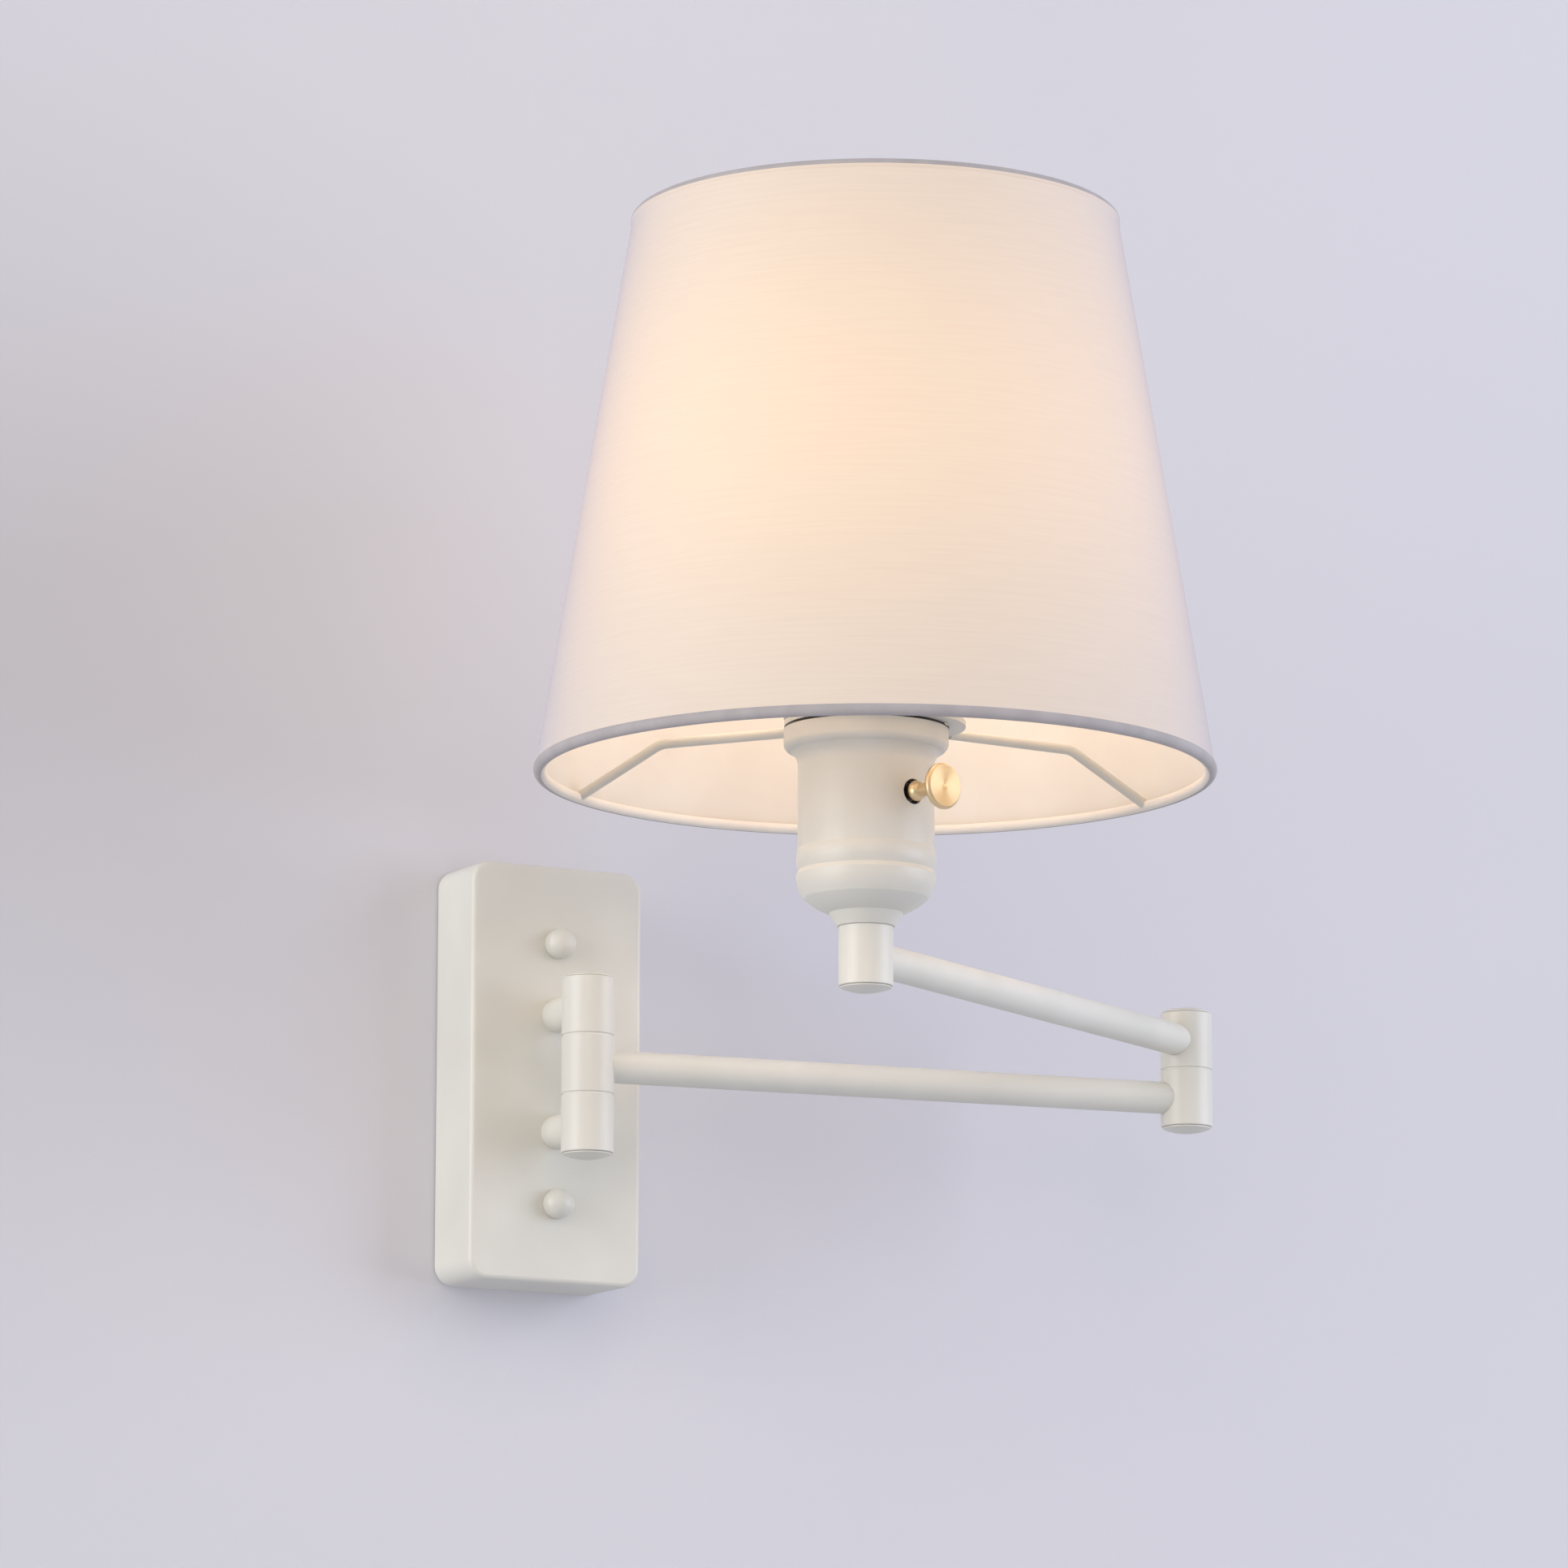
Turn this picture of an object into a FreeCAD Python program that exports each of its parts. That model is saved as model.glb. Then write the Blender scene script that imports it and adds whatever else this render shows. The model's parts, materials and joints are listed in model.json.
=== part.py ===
import FreeCAD, Part
import math
import os

# Articulating wall lamp, millimetres, +Z up.
# Origin: centre of the back of the wall plate. The wall is the plane Y = 0, the room lies on -Y.
# The lamp stands half folded: the inner arm runs almost along the wall, the outer arm comes back.

V = FreeCAD.Vector
ORIGIN = V(0, 0, 0)
Y_AXIS = V(0, 1, 0)
Z_AXIS = V(0, 0, 1)
INTO_ROOM = V(0, -1, 0)

# Fits and clearances
fixed_clearance = 0.02        # radial, between pieces that are screwed or pressed together
running_clearance = 0.05      # radial, between pieces that turn on each other
loose_clearance = 0.3         # radial, around a screw, a wire or a loose insert
seat_play = 0.1               # along an axis, between stacked inner pieces

# Wall plate: a pressed pan, open at the back
plate_width = 58.0
plate_height = 128.0
plate_depth = 24.0
plate_wall = 1.2
plate_corner_radius = 6.0
plate_edge_radius = 1.5

# Mounting bracket: a strip whose middle lies on the wall and whose ends stand off it
bracket_width = 26.0
bracket_thickness = 1.5
bracket_lift = 4.0
bracket_end_length = 12.0
bracket_slope_length = 3.0
wall_slot_spacing = 50.0
wall_slot_length = 10.0
wall_slot_width = 4.6
cable_hole_radius = 5.5
cable_hole_drop = 8.0

# Threaded studs and the domed cap nuts that hold the plate on them
stud_spacing = 80.0
stud_radius = 2.0
stud_head_radius = 3.75
stud_head_height = 2.6
stud_engagement = 4.0
cap_nut_radius = 4.5
cap_nut_straight = 3.4
cap_nut_dome = 3.0
cap_nut_edge = 0.3

# Terminal block with its screws, and the earth screw
block_width = 17.0
block_height = 12.0
block_depth = 10.0
block_rise = 7.0
pole_spacing = 8.4
pole_screw_spacing = 6.4
chimney_radius = 3.0
chimney_height = 2.5
wire_entry_radius = 1.7
wire_entry_depth = 4.0
pole_screw_radius = 1.7
pole_screw_length = 6.0
pole_screw_sink = 1.2
block_screw_radius = 1.25
block_screw_head_radius = 2.1
block_screw_head_height = 1.4
earth_screw_radius = 2.0
earth_screw_side = 9.0
earth_screw_drop = 15.0
earth_head_radius = 3.2
earth_head_height = 2.2
earth_washer_radius = 3.5
earth_washer_thickness = 0.8
driver_slot_width = 0.8
driver_slot_depth = 0.8

# Hinge knuckles, stacked one pitch apart on a hollow pin
hinge_reach = 44.5            # wall to the axis of the wall hinge
knuckle_radius = 8.0
knuckle_height = 17.6
knuckle_gap = 0.35
knuckle_chamfer = 0.25
pin_radius = 4.0
pin_bore_radius = 2.4
wall_window_angle = 210.0     # opening in the wall pin, where the inner arm's wire turns
elbow_window_angle = 290.0    # opening in the elbow pin, where the outer arm's wire turns
wire_hole_radius = 1.6
washer_radius = 7.6
washer_play = 0.02
socket_wall = 1.55            # metal between the pin's bore and the floor of a socket
ring_nut_wall = 1.3
ring_nut_height = 2.2
ring_nut_slot = 1.2
end_cap_spigot = 1.0
end_cap_inset = 0.5           # how far the lid's edge stays inside the knuckle's
end_cap_line = 0.18           # height of the groove under the lid
end_cap_line_depth = 0.6
end_cap_edge = 0.3
end_cap_dome = 1.5

# Posts between the plate and the fixed knuckles
post_radius = 5.2
post_bore_radius = 1.7
post_tail_radius = 3.0
post_nut_flats = 10.0
post_nut_height = 4.5
post_tail_stand = 1.0

# Arms: plain tubes between the hinge axes, with their directions as the lamp stands
arm_radius = 5.0
arm_wall = 1.0
inner_arm_length = 197.0
outer_arm_length = 195.0
inner_arm_angle = -8.2
outer_arm_angle = -150.0

# Lampholder cup: a spun cover, heights above its foot
cup_wall = 1.0
cup_neck_radius = 8.5
cup_crease_radius = 10.9
cup_bowl_radius = 18.2
cup_body_radius = 20.0
cup_bead_height = 0.5         # how far the bead stands out of the body
cup_groove_depth = 0.3        # how far the groove under the bead lies inside the body
cup_groove_width = 1.4
cup_rim_radius = 24.2
cup_neck_height = 3.9
cup_bowl_height = 8.2
cup_bowl_top = 15.0
cup_bead_top = 22.8
cup_flare_height = 7.1        # from the straight body out to the rim
cup_rim_height = 3.9
cup_height = 58.3
cup_floor = 6.2

# Lampholder inside the cup
nipple_nut_flats = 13.0
nipple_nut_height = 3.0
base_boss_radius = 8.0
base_floor = 2.5
base_wall = 2.0
base_boss_height = 6.1
carrier_thickness = 2.6
sleeve_wall = 2.1
sleeve_cone_height = 5.3
sleeve_flange_height = 2.5
sleeve_lip_height = 0.8       # lip that rests on the cup's rim and carries the hub
sleeve_thread_radius = 19.0
sleeve_thread_height = 11.0
contact_floor_thickness = 2.2
shell_radius = 13.9
shell_wall = 0.4
shell_height = 22.0
shell_flange_hole = 7.0
contact_width = 5.0
contact_thickness = 0.5
contact_length = 10.0
contact_rise = 3.0
contact_end = 1.0             # flat end of the spring tongue

# Rotary switch and its key
switch_drop = 20.8            # cup's rim down to the axis of the switch
switch_angle = -75.3          # direction of the switch's axis
switch_hole_radius = 3.75
switch_width = 16.0
switch_back = 3.0
switch_front = 12.0
switch_body_height = 11.8
bushing_radius = 2.9
bushing_end = 18.0
spindle_radius = 1.5
spindle_start = 4.0
key_start = 19.0
key_ball_radius = 3.0
key_ball_length = 4.3
key_collar_radius = 2.2
key_neck_radius = 2.0
key_neck_length = 7.5
key_disc_radius = 6.8
key_disc_thickness = 2.3
key_dish = 0.25
key_bore_length = 7.0

# Bulb
bulb_cap_radius = 13.1
bulb_cap_wall = 0.6
bulb_cap_height = 22.4
bulb_cap_mouth = 11.0
bulb_contact_radius = 4.5
bulb_contact_height = 1.0
bulb_radius = 30.0
bulb_length = 105.0
bulb_neck_radius = 14.0
bulb_neck_height = 26.4       # heights above the bulb's end contact
bulb_waist_height = 42.4
bulb_waist_radius = 19.0
bulb_glass_wall = 1.0
bulb_glass_foot = 8.4
bulb_flare_angle = 35.0
board_radius = 11.0
board_thickness = 1.6
board_height = 20.4

# Shade carrier and shade
hub_radius = 26.6
hub_thickness = 1.5
shade_shift = 2.6             # how far the shade hangs off the lamp's axis, by its hub's play
shade_shift_angle = -28.7     # direction of that shift
ring_nut_flange_radius = 24.2
ring_nut_flange = 2.4
shade_nut_foot = 1.2          # height of the foot that keeps the flange above the spokes
shade_nut_radius = 23.0
shade_nut_height = 8.2
shade_nut_slope = 1.0
spoke_radius = 1.5
spoke_flat_length = 70.5
spoke_bend_radius = 8.0
spoke_count = 3
spoke_angle = 5.0
shade_bottom_radius = 100.0
shade_top_radius = 72.5
shade_height = 168.3
shade_drop = 14.0             # hub's middle down to the middle of the bottom ring
shade_wall = 0.8
ring_wire_radius = 1.1
hem_clearance = 0.3
hem_thickness = 0.4
hem_bulge = 0.5
hem_slit = 0.4

# ---- Places worked out from the sizes ----

knuckle_pitch = knuckle_height + knuckle_gap
upper_level = knuckle_pitch
socket_floor = pin_radius + running_clearance + socket_wall
ring_nut_radius = pin_radius + ring_nut_wall
recess_radius = ring_nut_radius + seat_play
recess_depth = ring_nut_height + end_cap_spigot + 2 * seat_play
plate_front = -plate_depth
plate_inner_face = plate_front + plate_wall
cup_foot = upper_level + knuckle_height / 2
hub_bottom = cup_foot + cup_height + sleeve_lip_height
hub_middle = hub_bottom + hub_thickness / 2
hub_bore_radius = sleeve_thread_radius + running_clearance + shade_shift
hem_radius = ring_wire_radius + hem_clearance + hem_thickness
ring_bottom_radius = shade_bottom_radius - hem_radius
ring_top_radius = shade_top_radius - hem_radius
ring_bottom_level = hub_middle - shade_drop
ring_top_level = ring_bottom_level + shade_height - 2 * hem_radius

# Heights above the cup's foot
cup_rim_bottom = cup_height - cup_rim_height
cup_body_top = cup_rim_bottom - cup_flare_height
switch_height = cup_height - switch_drop
carrier_top = switch_height - switch_body_height / 2 - seat_play
base_top = carrier_top - carrier_thickness
contact_floor = switch_height + switch_body_height / 2 + seat_play + contact_floor_thickness
hub_seat = cup_height + sleeve_lip_height
sleeve_top = hub_seat + sleeve_thread_height
bulb_foot = contact_floor + contact_rise + contact_thickness + seat_play
bulb_cap_foot = bulb_foot + bulb_cap_radius / 4
bulb_cap_top = bulb_foot + bulb_cap_height

# Radii of the sleeve's ends in the cup's rim
sleeve_flange_radius = cup_rim_radius - cup_wall - loose_clearance
sleeve_lip_radius = cup_rim_radius - loose_clearance


def heading(angle):
    """Level unit vector at an angle from +X, counter-clockwise from above."""
    return V(math.cos(math.radians(angle)), math.sin(math.radians(angle)), 0)


wall_axis = V(0, -hinge_reach, 0)
inner_direction = heading(inner_arm_angle)
outer_direction = heading(outer_arm_angle)
elbow_axis = wall_axis + inner_direction * inner_arm_length
lamp_axis = elbow_axis + outer_direction * outer_arm_length
shade_axis = lamp_axis + heading(shade_shift_angle) * shade_shift
switch_direction = heading(switch_angle)


# ---- Shapes used more than once ----

def rod(radius, start, end):
    """Cylinder between two points."""
    return Part.makeCylinder(radius, (end - start).Length, start, end - start)


def ring(inner, outer, low, high):
    """Flat ring about the Z axis."""
    span = high - low
    return Part.makeCylinder(outer, span, V(0, 0, low)).cut(Part.makeCylinder(inner, span, V(0, 0, low)))


def outline(start, steps):
    """Closed face in the XZ plane; a step is (end,) for a line or (middle, end) for an arc."""
    edges = []
    here = V(start[0], 0, start[1])
    for step in list(steps) + [(start,)]:
        points = [V(x, 0, z) for x, z in step]
        if (points[-1] - here).Length < 1e-7:
            continue
        if len(points) == 1:
            edges.append(Part.LineSegment(here, points[0]).toShape())
        else:
            edges.append(Part.Arc(here, points[0], points[1]).toShape())
        here = points[-1]
    return Part.Face(Part.Wire(edges))


def turned(start, steps):
    """Solid turned about the Z axis from an outline of (radius, height) points."""
    return outline(start, steps).revolve(ORIGIN, Z_AXIS, 360)


def placed(shape, base, direction=Z_AXIS):
    """Copy of a shape made about +Z, standing at a base and along a direction."""
    copy = shape.copy()
    copy.Placement = FreeCAD.Placement(base, FreeCAD.Rotation(Z_AXIS, direction)).multiply(copy.Placement)
    return copy


def dome_middle(radius, low, rise):
    """Point half-way up a spherical cap of a given foot radius and rise."""
    sphere = (radius ** 2 + rise ** 2) / (2 * rise)
    half = math.asin(min(1.0, radius / sphere)) / 2
    return (sphere * math.sin(half), low + rise - sphere + sphere * math.cos(half))


def hex_nut(flats, height, bore):
    """Hexagonal nut standing on Z = 0."""
    corner = flats / math.sqrt(3)
    points = [V(corner * math.cos(math.radians(60 * i)), corner * math.sin(math.radians(60 * i)), 0)
              for i in range(7)]
    body = Part.Face(Part.makePolygon(points)).extrude(V(0, 0, height))
    return body.cut(Part.makeCylinder(bore, height))


def slotted_head(radius, height, direction_length):
    """Low round screw head standing on Z = 0 over a shank that goes down."""
    head = turned((0, 0), [((radius, 0),), ((radius, height / 2),),
                           (dome_middle(radius, height / 2, height / 2), (0, height))])
    slot = Part.makeBox(2 * radius, driver_slot_width, driver_slot_depth,
                        V(-radius, -driver_slot_width / 2, height - driver_slot_depth))
    return head.cut(slot).fuse(rod(direction_length[0], V(0, 0, 0), V(0, 0, -direction_length[1])))


def knuckle(level, bore, recess=0):
    """Hinge knuckle about its own axis; recess is +1 for one in its top, -1 for its bottom."""
    low = level - knuckle_height / 2
    high = level + knuckle_height / 2
    rim = knuckle_radius - knuckle_chamfer
    body = turned((bore, low), [((rim, low),), ((knuckle_radius, low + knuckle_chamfer),),
                                ((knuckle_radius, high - knuckle_chamfer),), ((rim, high),),
                                ((bore, high),)])
    if recess:
        mouth = level + recess * knuckle_height / 2
        body = body.cut(Part.makeCylinder(recess_radius, recess_depth, V(0, 0, mouth),
                                          V(0, 0, -recess)))
    return body


def socket(level, direction, radius):
    """Cutter for a flat-floored socket in a knuckle, with the wire's hole to the bore."""
    centre = V(0, 0, level)
    pocket = rod(radius + fixed_clearance, centre + direction * socket_floor,
                 centre + direction * (2 * knuckle_radius))
    return pocket.fuse(rod(wire_hole_radius, centre, centre + direction * (knuckle_radius)))


def ring_nut(face, side):
    """Slotted round nut on a pin, in the recess whose mouth is at a level."""
    floor = face - side * recess_depth
    low = min(floor, floor + side * ring_nut_height)
    nut = ring(pin_radius + fixed_clearance, ring_nut_radius, low, low + ring_nut_height)
    slot = Part.makeBox(2 * ring_nut_radius, ring_nut_slot, ring_nut_height / 2,
                        V(-ring_nut_radius, -ring_nut_slot / 2,
                          low + (ring_nut_height / 2 if side > 0 else 0)))
    return nut.cut(slot)


def end_cap(face, side):
    """Domed cap pressed into a knuckle's recess; side is +1 on a top, -1 on a bottom."""
    spigot = recess_radius - fixed_clearance
    lid = knuckle_radius - end_cap_inset
    seat = lid - end_cap_line_depth
    shoulder = end_cap_line + end_cap_edge
    cap = turned((0, -end_cap_spigot), [
        ((spigot, -end_cap_spigot),), ((spigot, 0),), ((seat, 0),), ((seat, end_cap_line),),
        ((lid, end_cap_line),), ((lid, shoulder),),
        (dome_middle(lid, shoulder, end_cap_dome), (0, shoulder + end_cap_dome))])
    return placed(cap, V(0, 0, face), V(0, 0, side))


def hinge_pin(low, high, windows):
    """Hollow pin; a window is (level, direction, angle), drilled when its angle is 0."""
    pin = ring(pin_bore_radius, pin_radius, low, high)
    for level, direction, angle in windows:
        if angle:
            turn = math.degrees(math.atan2(direction.y, direction.x)) - angle / 2
            slot = Part.makeCylinder(2 * pin_radius, 2 * wire_hole_radius,
                                     V(0, 0, level - wire_hole_radius), Z_AXIS, angle)
            slot.rotate(ORIGIN, Z_AXIS, turn)
        else:
            centre = V(0, 0, level)
            slot = rod(wire_hole_radius, centre, centre + direction * (2 * pin_radius))
        pin = pin.cut(slot)
    return pin


def washer(level):
    """Thin washer that fills the gap between two knuckles."""
    half = knuckle_gap / 2 - washer_play
    return ring(pin_radius + running_clearance, washer_radius, level - half, level + half)


def arm_tube(start_axis, end_axis, level):
    """Tube between the floors of the sockets in two knuckles."""
    direction = (end_axis - start_axis).normalize()
    lift = V(0, 0, level)
    start = start_axis + direction * socket_floor + lift
    end = end_axis - direction * socket_floor + lift
    return rod(arm_radius, start, end).cut(rod(arm_radius - arm_wall, start, end))


# ---- Wall mount ----

def rounded_slab(inset):
    """Block of the plate's outline, made smaller by an inset on every side but the back."""
    width = plate_width - 2 * inset
    height = plate_height - 2 * inset
    depth = plate_depth - inset
    slab = Part.makeBox(width, depth, height, V(-width / 2, -depth, -height / 2))
    corners = [e for e in slab.Edges if abs(e.BoundBox.YLength - depth) < 1e-6]
    slab = slab.makeFillet(plate_corner_radius - inset, corners)
    front = [e for e in slab.Edges if abs(e.BoundBox.YMax + depth) < 1e-6]
    return slab.makeFillet(plate_edge_radius - inset, front)


def wall_plate():
    """Pan with holes for the studs and the posts' tails."""
    pan = rounded_slab(0).cut(rounded_slab(plate_wall))
    for side in (1, -1):
        for radius, height in ((stud_radius, stud_spacing / 2), (post_tail_radius, upper_level)):
            start = V(0, 0, side * height)
            pan = pan.cut(rod(radius + running_clearance, start, start + INTO_ROOM * (2 * plate_depth)))
    return pan


def bracket_section():
    """Side view of the strip as (distance from the wall, height) points, constant in thickness."""
    end_low = stud_spacing / 2 - bracket_end_length / 2
    end_high = stud_spacing / 2 + bracket_end_length / 2
    flat = end_low - bracket_slope_length
    bend = math.atan2(bracket_lift, bracket_slope_length)
    shift = bracket_thickness * math.tan(bend / 2)
    lifted = bracket_lift + bracket_thickness
    upper = [(0, flat), (bracket_lift, end_low), (bracket_lift, end_high), (lifted, end_high),
             (lifted, end_low - shift), (bracket_thickness, flat - shift)]
    return upper + [(depth, -height) for depth, height in reversed(upper)]


def mounting_bracket():
    """Joggled strip with its wall slots, cable hole and tapped holes."""
    half = bracket_width / 2
    points = [V(-half, -depth, height) for depth, height in bracket_section()]
    strip = Part.Face(Part.makePolygon(points + points[:1])).extrude(V(bracket_width, 0, 0))
    holes = [(V(0, 0, -cable_hole_drop), cable_hole_radius),
             (V(0, 0, block_rise), block_screw_radius + fixed_clearance),
             (V(earth_screw_side, 0, -earth_screw_drop), earth_screw_radius + fixed_clearance)]
    for side in (1, -1):
        holes.append((V(0, 0, side * stud_spacing / 2), stud_radius + fixed_clearance))
        reach = (wall_slot_length - wall_slot_width) / 2
        slot_half = wall_slot_width / 2
        middle = side * wall_slot_spacing / 2
        strip = strip.cut(Part.makeBox(wall_slot_width, bracket_thickness, 2 * reach,
                                       V(-slot_half, -bracket_thickness, middle - reach)))
        for end in (reach, -reach):
            holes.append((V(0, 0, middle + end), slot_half))
    for place, radius in holes:
        strip = strip.cut(rod(radius, place, place + INTO_ROOM * (bracket_lift + 2 * bracket_thickness)))
    return strip


def bracket_studs():
    """Two screws through the raised ends, heads towards the wall."""
    studs = []
    for side in (1, -1):
        seat = V(0, -bracket_lift, side * stud_spacing / 2)
        head = rod(stud_head_radius, seat - INTO_ROOM * stud_head_height, seat)
        tip = V(0, plate_front - stud_engagement, seat.z)
        studs.append(head.fuse(rod(stud_radius, seat, tip)))
    return studs


def cap_nuts():
    """Domed nuts on the plate's face, with blind threads."""
    bore = stud_radius + fixed_clearance
    depth = stud_engagement + seat_play
    side_top = cap_nut_straight
    nut = turned((bore, 0), [
        ((cap_nut_radius - cap_nut_edge, 0),), ((cap_nut_radius, cap_nut_edge),),
        ((cap_nut_radius, side_top),),
        (dome_middle(cap_nut_radius, side_top, cap_nut_dome), (0, side_top + cap_nut_dome)),
        ((0, depth),), ((bore, depth),)])
    return [placed(nut, V(0, plate_front, side * stud_spacing / 2), INTO_ROOM) for side in (1, -1)]


def hinge_post(side):
    """Hollow post from the plate to a fixed knuckle, with a threaded tail inside the plate."""
    level = V(0, 0, side * upper_level)
    tail_end = plate_inner_face + post_nut_height + post_tail_stand
    start = level + V(0, tail_end, 0)
    shoulder = level + V(0, plate_front, 0)
    end = level + V(0, -hinge_reach + socket_floor, 0)
    post = rod(post_radius, shoulder, end).fuse(rod(post_tail_radius, start, shoulder))
    return post.cut(rod(post_bore_radius, start, end))


def post_nuts():
    """Hexagonal nuts that pull the posts against the plate from inside."""
    nut = hex_nut(post_nut_flats, post_nut_height, post_tail_radius + fixed_clearance)
    return [placed(nut, V(0, plate_inner_face, side * upper_level), Y_AXIS) for side in (1, -1)]


def terminal_block():
    """Two-pole block on the bracket, with a chimney over each clamping screw."""
    back = -bracket_thickness
    front = back - block_depth
    block = Part.makeBox(block_width, block_depth, block_height,
                         V(-block_width / 2, front, block_rise - block_height / 2))
    edges = [e for e in block.Edges if abs(e.BoundBox.YLength - block_depth) < 1e-6]
    block = block.makeFillet(block_depth / 10, edges)
    for x in (-pole_spacing / 2, pole_spacing / 2):
        entry = V(x, back - wire_entry_depth, block_rise - block_height)
        for z in (-pole_screw_spacing / 2, pole_screw_spacing / 2):
            face = V(x, front, block_rise + z)
            block = block.fuse(rod(chimney_radius, face, face + INTO_ROOM * chimney_height))
            block = block.cut(rod(pole_screw_radius + fixed_clearance, V(x, entry.y, face.z),
                                  face + INTO_ROOM * (2 * chimney_height)))
        block = block.cut(rod(wire_entry_radius, entry, entry + Z_AXIS * (2 * block_height)))
    hole = V(0, back, block_rise)
    return block.cut(rod(block_screw_radius + fixed_clearance, hole, hole + INTO_ROOM * (2 * block_depth)))


def terminal_screws():
    """Clamping screws in the chimneys."""
    mouth = -bracket_thickness - block_depth - chimney_height + pole_screw_sink
    screws = []
    for x in (-pole_spacing / 2, pole_spacing / 2):
        for z in (-pole_screw_spacing / 2, pole_screw_spacing / 2):
            top = V(x, mouth, block_rise + z)
            body = rod(pole_screw_radius, top, top - INTO_ROOM * pole_screw_length)
            slot = Part.makeBox(2 * pole_screw_radius, driver_slot_depth, driver_slot_width,
                                top + V(-pole_screw_radius, 0, -driver_slot_width / 2))
            screws.append(body.cut(slot))
    return screws


def block_screw():
    """Screw that holds the terminal block on the bracket."""
    screw = slotted_head(block_screw_head_radius, block_screw_head_height,
                         (block_screw_radius, block_depth + bracket_thickness))
    return placed(screw, V(0, -bracket_thickness - block_depth, block_rise), INTO_ROOM)


def earth_screw():
    """Earth screw in the bracket."""
    screw = slotted_head(earth_head_radius, earth_head_height,
                         (earth_screw_radius, earth_washer_thickness + bracket_thickness))
    seat = V(earth_screw_side, -bracket_thickness - earth_washer_thickness, -earth_screw_drop)
    return placed(screw, seat, INTO_ROOM)


def earth_washer():
    """Washer under the earth screw's head."""
    flat = ring(earth_screw_radius + fixed_clearance, earth_washer_radius, 0, earth_washer_thickness)
    return placed(flat, V(earth_screw_side, -bracket_thickness, -earth_screw_drop), INTO_ROOM)


def wall_mount():
    """Everything that stays still on the wall."""
    end = upper_level + knuckle_height / 2
    nodes = {
        "wall_plate": wall_plate(),
        "mounting_bracket": mounting_bracket(),
        "bracket_studs": bracket_studs(),
        "cap_nuts": cap_nuts(),
        "hinge_post_upper": hinge_post(1),
        "hinge_post_lower": hinge_post(-1),
        "post_nuts": post_nuts(),
        "terminal_block": terminal_block(),
        "terminal_screws": terminal_screws(),
        "block_screw": block_screw(),
        "earth_screw": earth_screw(),
        "earth_washer": earth_washer(),
    }
    for name, side in (("knuckle_upper", 1), ("knuckle_lower", -1)):
        level = side * upper_level
        body = knuckle(level, pin_radius + fixed_clearance, side)
        nodes[name] = placed(body.cut(socket(level, Y_AXIS, post_radius)), wall_axis)
    pin_end = end - end_cap_spigot - seat_play
    windows = [(upper_level, Y_AXIS, 0), (-upper_level, Y_AXIS, 0), (0, INTO_ROOM, wall_window_angle)]
    nodes["wall_hinge_pin"] = placed(hinge_pin(-pin_end, pin_end, windows), wall_axis)
    nodes["wall_hinge_nuts"] = [placed(ring_nut(side * end, side), wall_axis) for side in (1, -1)]
    nodes["wall_hinge_washers"] = [placed(washer(side * knuckle_pitch / 2), wall_axis) for side in (1, -1)]
    nodes["wall_hinge_end_caps"] = [placed(end_cap(side * end, side), wall_axis) for side in (1, -1)]
    return nodes


# ---- Inner arm ----

def inner_arm():
    """Arm from the wall hinge to the elbow, with the elbow's pin."""
    low = -knuckle_height / 2
    high = upper_level + knuckle_height / 2
    middle = knuckle(0, pin_radius + running_clearance)
    lower = knuckle(0, pin_radius + fixed_clearance, -1)
    pin = hinge_pin(low + end_cap_spigot + seat_play, high - end_cap_spigot - seat_play,
                    [(0, -inner_direction, 0), (upper_level, inner_direction, elbow_window_angle)])
    return {
        "knuckle_middle": placed(middle.cut(socket(0, inner_direction, arm_radius)), wall_axis),
        "inner_arm_tube": arm_tube(wall_axis, elbow_axis, 0),
        "elbow_knuckle_lower": placed(lower.cut(socket(0, -inner_direction, arm_radius)), elbow_axis),
        "elbow_pin": placed(pin, elbow_axis),
        "elbow_nuts": [placed(ring_nut(low, -1), elbow_axis), placed(ring_nut(high, 1), elbow_axis)],
        "elbow_washer": placed(washer(knuckle_pitch / 2), elbow_axis),
        "elbow_cap_lower": placed(end_cap(low, -1), elbow_axis),
    }


# ---- Outer arm, lampholder and shade ----

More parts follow.
